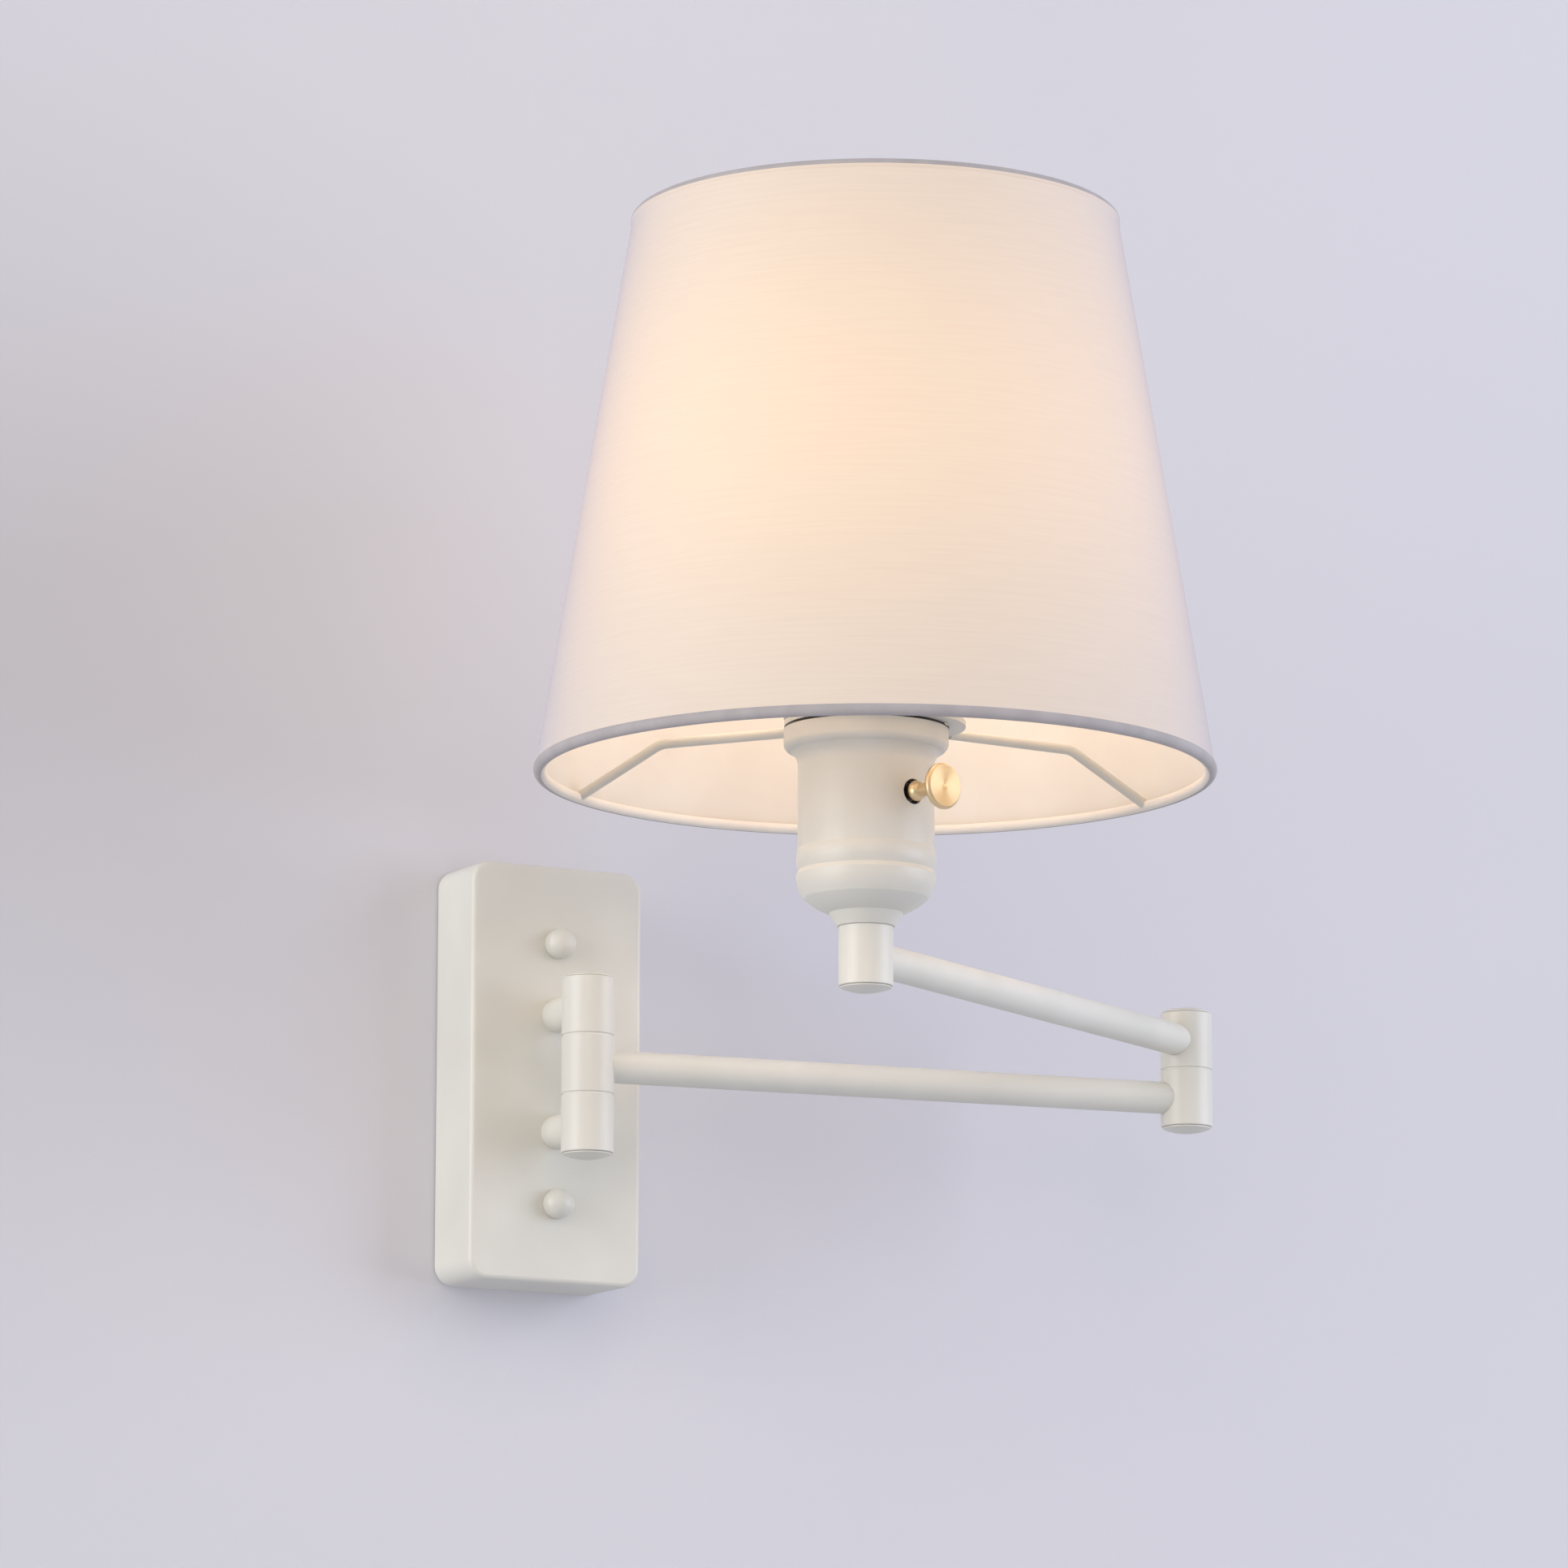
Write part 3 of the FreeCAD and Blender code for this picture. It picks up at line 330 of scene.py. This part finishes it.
@dataclass(frozen=True)
class OpalGlass(Finish):
    """Opal glass of a lit lamp: white flashed glass that glows all over."""

    glow: str = "#FFE7CF"
    strength: float = 4.15

    def pattern(self, tree: bpy.types.NodeTree, shader: bpy.types.Node) -> None:
        """Give it the lamp's warm light and the faint waves of blown glass."""
        shader.inputs["IOR"].default_value = 1.52
        shader.inputs["Emission Color"].default_value = linear(self.glow)
        shader.inputs["Emission Strength"].default_value = self.strength
        self.relief(tree, shader, self.grain(tree, 6 * MM), 0.02 * MM)


@dataclass(frozen=True)
class LaminatedLinen(Finish):
    """Linen glued to a white backing sheet, with a painted glow for the lamp's light from inside.

    The threads are 0.45 mm apart; they are drawn 0.9 mm apart so that they show. Uneven yarns
    leave soft level streaks. The lamp's light through the cloth is a painted glow, an emission
    strongest level with the bulb.
    """

    dark: str = "#D8D1CB"
    thread: float = 0.9 * MM
    slub: tuple[float, float] = (26 * MM, 0.9 * MM)
    # Colour and strength of the painted glow that stands in for the bulb's light through the
    # cloth.
    glow: str = "#FFBA38"
    strength: float = 0.355
    # The sheen is the cloth's own; its blue tint paints cool light from the side lamps onto the
    # grazing edges.
    sheen: float = 0.9
    sheen_tint: str = "#D5DDFF"

    def pattern(self, tree: bpy.types.NodeTree, shader: bpy.types.Node) -> None:
        """Weave warp and weft on the piece's own map, then add the painted glow of the lamp's
        light.
        """
        shader.inputs["Sheen Weight"].default_value = self.sheen
        shader.inputs["Sheen Tint"].default_value = linear(self.sheen_tint)
        place = add(tree, "ShaderNodeUVMap", {"uv_map": "cloth"})
        waves = []
        for direction in ("X", "Y"):
            waves.append(add(tree, "ShaderNodeTexWave", {"bands_direction": direction}, {
                "Vector": place.outputs[0], "Scale": 1 / (self.thread * WAVES), "Distortion": 1.5,
                "Detail": 1.0, "Detail Scale": 0.8}).outputs["Fac"])
        weave = add(tree, "ShaderNodeMath", {"operation": "MULTIPLY"}, {0: waves[0], 1: waves[1]})
        streak = add(tree, "ShaderNodeMapping", inputs={
            0: place.outputs[0], "Scale": (1 / self.slub[0], 1 / self.slub[1], 1)})
        slubs = add(tree, "ShaderNodeTexNoise",
                    inputs={"Vector": streak.outputs[0], "Scale": 1.0, "Detail": 2.0})
        both = add(tree, "ShaderNodeMath", {"operation": "MULTIPLY_ADD"},
                   {0: slubs.outputs[0], 1: 0.7, 2: weave.outputs[0]})
        self.relief(tree, shader, both.outputs[0], 0.03 * MM, 0.16)
        self.two_tone(tree, shader, slubs.outputs[0], self.dark, (0.3, 0.7))
        # Painted light: emission from the skin's glow attribute stands in for the bulb's light
        # through the cloth.
        reached = add(tree, "ShaderNodeAttribute", {"attribute_name": "glow"})
        yarn = add(tree, "ShaderNodeMapRange",
                   inputs={0: slubs.outputs[0], "To Min": 0.985, "To Max": 1.015})
        lit = add(tree, "ShaderNodeMath", {"operation": "MULTIPLY"},
                  {0: reached.outputs["Fac"], 1: yarn.outputs[0]})
        strength = add(tree, "ShaderNodeMath", {"operation": "MULTIPLY"},
                       {0: lit.outputs[0], 1: self.strength})
        shader.inputs["Emission Color"].default_value = linear(self.glow)
        tree.links.new(strength.outputs[0], shader.inputs["Emission Strength"])


@dataclass(frozen=True)
class BackingSheet(Finish):
    """Smooth white sheet that the linen is glued to, seen from inside the shade."""

    other: str = "#F1EAE2"

    def pattern(self, tree: bpy.types.NodeTree, shader: bpy.types.Node) -> None:
        """Add the faint unevenness of the rolled sheet."""
        self.mottle(tree, shader, 25 * MM, self.other)
        self.relief(tree, shader, self.grain(tree, 3 * MM), 0.02 * MM, 0.5)


@dataclass(frozen=True)
class Woven(Finish):
    """Narrow cotton tape folded over the shade's edges, ribbed across its length."""

    rib: float = 0.5 * MM
    other: str = "#B2ABAC"

    def pattern(self, tree: bpy.types.NodeTree, shader: bpy.types.Node) -> None:
        """Rib the tape on the piece's own map."""
        shader.inputs["Sheen Weight"].default_value = 0.2
        place = add(tree, "ShaderNodeUVMap", {"uv_map": "cloth"})
        ribs = add(tree, "ShaderNodeTexWave", {"bands_direction": "X"},
                   {"Vector": place.outputs[0], "Scale": 1 / (self.rib * WAVES),
                    "Distortion": 0.6})
        self.relief(tree, shader, ribs.outputs["Fac"], 0.02 * MM, 0.3)
        self.mottle(tree, shader, 8 * MM, self.other)


@dataclass(frozen=True)
class Plaster(Finish):
    """Painted plaster of the room, seen by the camera and in reflections only.

    It lets every other ray pass, so it neither shades the lamp nor hides it from behind.
    """

    def pattern(self, tree: bpy.types.NodeTree, shader: bpy.types.Node) -> None:
        """Show the front to camera, glossy and transmission rays."""
        side = add(tree, "ShaderNodeNewGeometry")
        front = add(tree, "ShaderNodeMath", {"operation": "SUBTRACT"},
                    {0: shown_rays(tree), 1: side.outputs["Backfacing"]})
        clear = add(tree, "ShaderNodeBsdfTransparent")
        mix = add(tree, "ShaderNodeMixShader",
                  inputs={0: front.outputs[0], 1: clear.outputs[0], 2: shader.outputs[0]})
        tree.links.new(mix.outputs[0], tree.nodes["Material Output"].inputs[0])


# ---- Modelling ----


def start_clean() -> None:
    """Leave edit mode and deselect everything."""
    if bpy.context.object and bpy.context.object.mode != "OBJECT":
        bpy.ops.object.mode_set(mode="OBJECT")
    bpy.ops.object.select_all(action="DESELECT")


def arc(centre: Point, radius: float, start: float, end: float, steps: int) -> list[Point]:
    """Points on an arc.

    Args:
        centre: Centre of the arc.
        radius: Radius of the arc.
        start: First angle in degrees.
        end: Last angle in degrees.
        steps: Number of spans.

    Returns:
        Points from the first angle to the last, both included.
    """
    angles = [math.radians(start + (end - start) * i / steps) for i in range(steps + 1)]
    return [(centre[0] + radius * math.cos(a), centre[1] + radius * math.sin(a)) for a in angles]


def between(start: Point, end: Point, steps: int) -> list[Point]:
    """Points that split a line evenly.

    Args:
        start: One end of the line.
        end: Its other end.
        steps: Number of spans.

    Returns:
        The points inside the line, without its ends.
    """
    return [(start[0] + (end[0] - start[0]) * i / steps,
             start[1] + (end[1] - start[1]) * i / steps) for i in range(1, steps)]


def lathe(name: str, profile: list[Point], steps: int) -> bpy.types.Object:
    """Turn a closed profile about the Z axis.

    Args:
        name: Name of the piece.
        profile: Radius and height of each point of a loop that stays off the axis, in metres.
        steps: Number of spans around.

    Returns:
        The turned piece, about the world's Z axis.
    """
    start_clean()
    bpy.ops.mesh.primitive_plane_add(size=MM, location=(profile[0][0], 0, profile[0][1]))
    piece = bpy.context.object
    piece.name = name
    piece.data.name = name
    bpy.ops.object.transform_apply(location=True)
    bpy.ops.object.mode_set(mode="EDIT")
    bpy.ops.mesh.select_all(action="SELECT")
    bpy.ops.mesh.merge(type="CENTER")
    here = profile[0]
    for there in profile[1:] + profile[:1]:
        bpy.ops.mesh.extrude_region_move(
            TRANSFORM_OT_translate={"value": (there[0] - here[0], 0, there[1] - here[1])})
        here = there
    bpy.ops.mesh.select_all(action="SELECT")
    bpy.ops.mesh.spin(steps=steps, angle=2 * math.pi, center=(0, 0, 0), axis=(0, 0, 1))
    bpy.ops.mesh.select_all(action="SELECT")
    bpy.ops.mesh.remove_doubles(threshold=WELD)
    bpy.ops.mesh.normals_make_consistent(inside=False)
    bpy.ops.object.mode_set(mode="OBJECT")
    bpy.ops.object.shade_smooth_by_angle(angle=math.radians(SMOOTH_UNDER))
    return piece


def settle(piece: bpy.types.Object, place: Matrix, body: Body) -> None:
    """Put a piece's place in its mesh and let it ride.

    Args:
        piece: The piece.
        place: Where it goes from the world's origin.
        body: Body that it moves with.
    """
    piece.data.transform(place)
    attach(piece, body.value)


# ---- Finishes of this lamp ----

SHELL_WHITE = PowderCoat("Off-white epoxy powder coat on steel", "#E6E3DA", 0.36)
ZINC = Plated("Zinc-plated steel", "#C4C6C2", 0.34)
NUT_BRASS = Plated("Drawn brass of the nuts", "#C9A865", 0.36, other="#B3924F")
KEY_BRASS = TurnedBrass("Turned and lacquered brass", "#E8CFA4", 0.28)
BLACK_NYLON = Moulded("Black glass-filled nylon", "#1B1B1C", 0.46)
PHENOLIC = Moulded("Black phenolic lampholder resin", "#211E1C", 0.38)
WHITE_PLASTIC = Moulded("White PBT lampholder plastic", "#EDEBE6", 0.36)
OPAL = OpalGlass("Opal glass of the lit bulb", "#F7F1E6", 0.25)
# The linen's emission is a painted glow of the bulb's light through the cloth.
LINEN = LaminatedLinen("White linen laminated to a backing sheet", "#DCD5CE", 0.85)
BACKING = BackingSheet("White backing sheet of the laminate", "#F4EFE8", 0.6)
# Its grey is painted shade of the rolled hem, where the wire keeps the lamp's light from coming
# through.
SHADED_HEM_TAPE = Woven("Cotton edging tape with painted hem shade", "#BBB4B5", 0.9)
WALL_PAINT = Plaster("Matt wall paint", "#DFDDE3", 0.9)
FLOOR_PAINT = Plaster("Pale sealed floor", "#D9D9DC", 0.7)


# ---- Sub-assemblies ----


@dataclass
class Assembly:
    """Sub-assembly of the lamp whose solids come from the CAD model.

    Attributes:
        frame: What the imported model's loader returned.
        finishes: Finish of each CAD node that stays.
    """

    frame: dict
    finishes: dict[str, Finish] = field(default_factory=dict)

    def dress(self) -> None:
        """Give every CAD node of the sub-assembly its material."""
        for node, finish in self.finishes.items():
            mesh = self.frame["nodes"][node].data
            mesh.materials.clear()
            mesh.materials.append(finish.build())
            logger.info("%s in %s", node, finish.name)

    def build(self) -> None:
        """Dress the nodes and make any piece that replaces one."""
        self.dress()


@dataclass
class WallMount(Assembly):
    """Plate, bracket and fixed half of the wall hinge."""

    finishes: dict[str, Finish] = field(default_factory=lambda: {
        "wall_plate": SHELL_WHITE, "cap_nuts": SHELL_WHITE, "knuckle_upper": SHELL_WHITE,
        "knuckle_lower": SHELL_WHITE, "hinge_post_upper": SHELL_WHITE,
        "hinge_post_lower": SHELL_WHITE, "wall_hinge_end_caps": SHELL_WHITE,
        "mounting_bracket": ZINC, "bracket_studs": ZINC, "post_nuts": ZINC,
        "wall_hinge_pin": ZINC, "wall_hinge_nuts": NUT_BRASS,
        "wall_hinge_washers": WHITE_PLASTIC, "terminal_block": WHITE_PLASTIC,
        "terminal_screws": ZINC, "block_screw": ZINC, "earth_screw": NUT_BRASS,
        "earth_washer": NUT_BRASS})


@dataclass
class InnerArm(Assembly):
    """Arm from the wall hinge to the elbow."""

    finishes: dict[str, Finish] = field(default_factory=lambda: {
        "knuckle_middle": SHELL_WHITE, "inner_arm_tube": SHELL_WHITE,
        "elbow_knuckle_lower": SHELL_WHITE, "elbow_cap_lower": SHELL_WHITE, "elbow_pin": ZINC,
        "elbow_nuts": NUT_BRASS, "elbow_washer": WHITE_PLASTIC})


@dataclass
class OuterArm(Assembly):
    """Arm from the elbow to the lamp head, with the lampholder and bulb."""

    finishes: dict[str, Finish] = field(default_factory=lambda: {
        "elbow_knuckle_upper": SHELL_WHITE, "elbow_cap_upper": SHELL_WHITE,
        "outer_arm_tube": SHELL_WHITE, "head_knuckle": SHELL_WHITE, "head_cap": SHELL_WHITE,
        "lampholder_cup": SHELL_WHITE, "lampholder_nipple": ZINC, "nipple_nuts": NUT_BRASS,
        "lampholder_base": WHITE_PLASTIC, "switch_carrier": WHITE_PLASTIC,
        "switch_body": BLACK_NYLON, "lampholder_sleeve": PHENOLIC, "screw_shell": NUT_BRASS,
        "centre_contact": NUT_BRASS, "bulb_glass": OPAL, "bulb_board": WHITE_PLASTIC,
        "bulb_cap": ZINC, "bulb_insulator": BLACK_NYLON, "bulb_contact": ZINC})


@dataclass
class Shade(Assembly):
    """Drum shade on its wire frame.

    Attributes:
        ring_wire: Radius of the hoops' wire.
        hem: Radius of the rolled hem.
        lining: Radius of the hem's inside.
        skin: Distances of the skin's faces outward of the hoops' middles.
        seam_angle: Direction of the glued seam, in degrees.
        seam_width: Width of the seam's overlap.
        seam_step: How far the overlap stands out.
        tape_width: Height of the edging tape above the bottom hoop's middle, whose grey is
            painted shade.
        roll_end: Where a hem's roll ends, in degrees from the skin's outer side.
        roll_share: Part of a full turn that the cloth goes around a hoop; not used.
        bead_steps: Number of spans along a hem's outside.
        lining_steps: Number of spans along a hem's inside.
        tape_turn: How far a hem's face may look inward and still wear the grey tape of painted
            shade.
        levels: Number of spans from the bottom hem to the top hem.
        around: Number of spans around the skin.
        bulb: Middle of the bulb's globe from the shade's own axis.
    """

    ring_wire: float = 1.1 * MM
    hem: float = 1.8 * MM
    lining: float = 1.4 * MM
    skin: tuple[float, float] = (0.5 * MM, 1.3 * MM)
    seam_angle: float = 69.1
    seam_width: float = 9 * MM
    seam_step: float = 0.05 * MM
    tape_width: float = 2.2 * MM
    roll_end: float = 225
    roll_share: float = 0.6
    bead_steps: int = 22
    lining_steps: int = 18
    tape_turn: float = -0.25
    levels: int = 24
    around: int = 256
    bulb: Vector = field(default_factory=lambda: Vector((0, 0, 0)))
    finishes: dict[str, Finish] = field(default_factory=lambda: {
        "shade_hub": SHELL_WHITE, "shade_spokes": SHELL_WHITE, "shade_ring_bottom": ZINC,
        "shade_ring_top": ZINC, "shade_ring_nut": WHITE_PLASTIC})

    def hoop(self, node: str) -> tuple[Vector, float]:
        """Return a hoop's middle and the radius of its wire's middle line."""
        low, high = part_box(node)
        return (low + high) / 2, (high.x - low.x) / 2 - self.ring_wire

    def profile(self, low: Point, high: Point) -> list[Point]:
        """Return the skin's section as a loop.

        Args:
            low: Radius and height of the bottom hoop.
            high: Radius and height of the top hoop.

        Returns:
            Radius and height of each point.
        """
        lean = math.atan2(high[0] - low[0], high[1] - low[1])
        inner, outer = self.skin
        ends: list[list[Point]] = []
        for hoop, side in ((low, -1), (high, 1)):
            out_join = math.degrees(math.acos(outer / self.hem))
            in_join = math.degrees(math.acos(inner / self.lining))
            bead = arc((0, 0), self.hem, -out_join, self.roll_end, self.bead_steps)
            inside = arc((0, 0), self.lining, self.roll_end, -in_join, self.lining_steps)
            turned = [(hoop[0] + outward * math.cos(lean) + side * away * math.sin(lean),
                       hoop[1] - outward * math.sin(lean) + side * away * math.cos(lean))
                      for outward, away in bead + inside]
            ends.append(turned[::side * -1])
        bottom, crown = ends
        return (bottom + between(bottom[-1], crown[0], self.levels)
                + crown + between(crown[-1], bottom[0], self.levels))

    def map_cloth(self, piece: bpy.types.Object, low: Point, high: Point) -> None:
        """Lay the cloth's own map and the painted glow of the light that comes through it on the
        skin.

        Args:
            piece: The skin, about the world's Z axis.
            low: Radius and height of the bottom hoop.
            high: Radius and height of the top hoop.
        """
        mesh = piece.data
        uv = mesh.uv_layers.new(name="cloth")
        reach = (low[0] + high[0]) / 2
        for face in mesh.polygons:
            facing = math.atan2(face.center.y, face.center.x)
            for loop in face.loop_indices:
                point = mesh.vertices[mesh.loops[loop].vertex_index].co
                turn = math.atan2(point.y, point.x) - facing
                turn = (turn + math.pi) % (2 * math.pi) - math.pi
                uv.data[loop].uv = ((facing + turn) * reach, point.z)
        # Painted glow: the bulb's light, falling off with the square of the distance, kept for
        # the cloth's emission.
        glow = mesh.attributes.new("glow", "FLOAT", "POINT")
        for vertex in mesh.vertices:
            glow.data[vertex.index].value = reach ** 2 / (vertex.co - self.bulb).length_squared

    def dress_skin(self, piece: bpy.types.Object, low: Point, high: Point) -> None:
        """Give the inside its backing sheet and the edges' outer sides their tape, greyed as
        painted shade of the hem.

        Args:
            piece: The skin about the world's Z axis, with linen all over.
            low: Radius and height of the bottom hoop.
            high: Radius and height of the top hoop.
        """
        piece.data.materials.append(BACKING.build())
        piece.data.materials.append(SHADED_HEM_TAPE.build())
        for face in piece.data.polygons:
            out = Vector((face.center.x, face.center.y, 0)).normalized().dot(face.normal)
            hem = face.center.z < low[1] + self.tape_width or face.center.z > high[1]
            # Painted shade: outward-looking hem faces get the grey tape; hem faces that look
            # further in stay white as the bulb lights them.
            if hem and out > self.tape_turn:
                face.material_index = 2
            elif out < 0:
                face.material_index = 1

    def glue_seam(self, piece: bpy.types.Object, radius: float) -> None:
        """Raise the overlap where the cloth's ends are glued.

        Args:
            piece: The skin, about the world's Z axis.
            radius: Middle radius of the skin.
        """
        half = math.degrees(self.seam_width / radius) / 2
        start_clean()
        bpy.context.view_layer.objects.active = piece
        piece.select_set(True)
        bpy.ops.object.mode_set(mode="EDIT")
        bpy.ops.mesh.select_mode(type="FACE")
        bpy.ops.mesh.select_all(action="DESELECT")
        bpy.ops.object.mode_set(mode="OBJECT")
        for face in piece.data.polygons:
            centre = face.center
            turn = math.degrees(math.atan2(centre.y, centre.x)) - self.seam_angle
            outside = face.normal.x * centre.x + face.normal.y * centre.y > 0
            face.select = outside and abs((turn + 180) % 360 - 180) < half
        bpy.ops.object.mode_set(mode="EDIT")
        bpy.ops.mesh.extrude_region_shrink_fatten(
            TRANSFORM_OT_shrink_fatten={"value": self.seam_step})
        bpy.ops.object.mode_set(mode="OBJECT")

    def build(self) -> None:
        """Dress the wire frame and make the cloth."""
        self.dress()
        centre, low_radius = self.hoop("shade_ring_bottom")
        top, high_radius = self.hoop("shade_ring_top")
        low, high = (low_radius, centre.z), (high_radius, top.z)
        skin = lathe("shade_skin", self.profile(low, high), self.around)
        self.glue_seam(skin, (low_radius + high_radius) / 2)
        glass_low, glass_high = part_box("bulb_glass")
        globe = (glass_high.x - glass_low.x) / 2
        self.bulb = (glass_low + glass_high) / 2 - centre
        self.bulb.z = glass_high.z - globe
        self.map_cloth(skin, low, high)
        skin.data.materials.append(LINEN.build())
        self.dress_skin(skin, low, high)
        settle(skin, Matrix.Translation((centre.x, centre.y, 0)), Body.OUTER)
        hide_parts("shade_fabric")
        logger.info("shade_skin, %d faces", len(skin.data.polygons))


@dataclass
class SwitchKey(Assembly):
    """Rotary key of the lampholder."""

    def build(self) -> None:
        """Dress the key with rings about its own axis."""
        joint = next(j for j in self.frame["joints"] if j["name"] == "switch_turn")
        brass = replace(KEY_BRASS, centre=tuple(joint["pos_m"]), axis=tuple(joint["axis"]))
        self.finishes = {"switch_key": brass, "switch_spindle": ZINC}
        self.dress()


@dataclass(frozen=True)
class Lamp:
    """Soft square lamp.

    Attributes:
        name: Name of the lamp.
        place: Where it hangs.
        size: Its side, in metres.
        power: Its power in watts.
        colour: Its colour, sRGB hex.
    """

    name: str
    place: Place
    size: float
    power: float
    colour: str


@dataclass
class Studio:
    """Wall, floor, soft lamps and camera.

    Attributes:
        eye: Place of the camera.
        right: The image's direction to the right.
        up: The image's direction upwards.
        lens: Focal length on the sensor.
        sensor: Width of the sensor.
        aim: What the lamps look at.
        room: Side of the wall and of the floor.
        wall_gap: How far the wall's paint lies behind the lamp's back.
        floor_level: Height of the floor.
        daylight: Strength of the even light.
        daylight_colour: Its colour, sRGB hex.
        backdrop: Colour beyond the wall, sRGB hex.
        lamps: The soft lamps.
    """

    eye: Place = (-1.12594, -2.22744, -0.36030)
    right: Place = (0.877211, -0.480097, 0.002639)
    up: Place = (-0.088274, -0.155881, 0.983824)
    lens: float = 188.16
    sensor: float = 36.0
    aim: Place = (0.05, -0.1, 0.08)
    room: float = 12
    wall_gap: float = 0.6 * MM
    floor_level: float = -1.5
    daylight: float = 0.51
    daylight_colour: str = "#F5F6FF"
    backdrop: str = "#D7D7DF"
    lamps: tuple[Lamp, ...] = (
        Lamp("left window", (-2.8, -0.35, 0.4), 2.2, 45.5, "#FFFFFF"),
        Lamp("right window", (2.3, -1.7, 0.5), 2.2, 46.5, "#E6EEFF"),
        Lamp("front", (-1.2, -2.5, 1.2), 2.0, 12, "#FFEDC0"),
    )

    def camera(self) -> None:
        """Set the camera where the photograph was taken."""
        data = bpy.data.cameras.new("camera")
        data.lens, data.sensor_width, data.sensor_fit = self.lens, self.sensor, "HORIZONTAL"
        data.clip_start, data.clip_end = 0.05, 50.0
        camera = bpy.data.objects.new("camera", data)
        bpy.context.scene.collection.objects.link(camera)
        right, up = Vector(self.right).normalized(), Vector(self.up).normalized()
        basis = Matrix((right, up, right.cross(up))).transposed().to_4x4()
        camera.matrix_world = Matrix.Translation(self.eye) @ basis
        bpy.context.scene.camera = camera

    def hang(self, lamp: Lamp) -> None:
        """Add a soft square lamp that looks at the object.

        Args:
            lamp: The lamp's place, size and light.
        """
        data = bpy.data.lights.new(lamp.name, "AREA")
        data.size, data.energy, data.color = lamp.size, lamp.power, linear(lamp.colour)[:3]
        light = bpy.data.objects.new(lamp.name, data)
        bpy.context.scene.collection.objects.link(light)
        light.location = lamp.place
        aim = Vector(self.aim) - Vector(lamp.place)
        light.rotation_mode = "QUATERNION"
        light.rotation_quaternion = aim.to_track_quat("-Z", "Y")

    def plane(self, name: str, place: Place, turn: Place, finish: Finish) -> None:
        """Add a stage plane.

        Args:
            name: Name of the plane.
            place: Its middle.
            turn: Its turn about X, Y and Z, in degrees.
            finish: Its paint.
        """
        start_clean()
        bpy.ops.mesh.primitive_plane_add(size=self.room, location=place,
                                         rotation=[math.radians(t) for t in turn])
        sheet = bpy.context.object
        sheet.name = name
        sheet.data.materials.append(finish.build())

    def world(self) -> None:
        """Light the room evenly, with the backdrop's colour where the camera sees it."""
        world = bpy.data.worlds.new("studio air")
        bpy.context.scene.world = world
        world.use_nodes = True
        tree = world.node_tree
        tree.nodes.clear()
        light = add(tree, "ShaderNodeBackground",
                    inputs={"Color": linear(self.daylight_colour), "Strength": self.daylight})
        back = add(tree, "ShaderNodeBackground",
                   inputs={"Color": linear(self.backdrop), "Strength": 1.0})
        mix = add(tree, "ShaderNodeMixShader",
                  inputs={0: shown_rays(tree), 1: light.outputs[0], 2: back.outputs[0]})
        add(tree, "ShaderNodeOutputWorld", inputs={0: mix.outputs[0]})

    def build(self) -> None:
        """Set up the whole studio."""
        self.camera()
        self.world()
        self.plane("wall", (0, self.wall_gap, 0), (90, 0, 0), WALL_PAINT)
        self.plane("floor", (0, 0, self.floor_level), (0, 0, 0), FLOOR_PAINT)
        for lamp in self.lamps:
            self.hang(lamp)
        bpy.context.scene.view_settings.view_transform = "Standard"


def main() -> None:
    """Build the lamp and its studio."""
    logging.basicConfig(level=logging.INFO, format="%(message)s")
    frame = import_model()
    Studio().build()
    for kind in (WallMount, InnerArm, OuterArm, Shade, SwitchKey):
        assembly = kind(frame)
        assembly.build()
        logger.info("%s done", type(assembly).__name__)


if __name__ == "__main__":
    main()
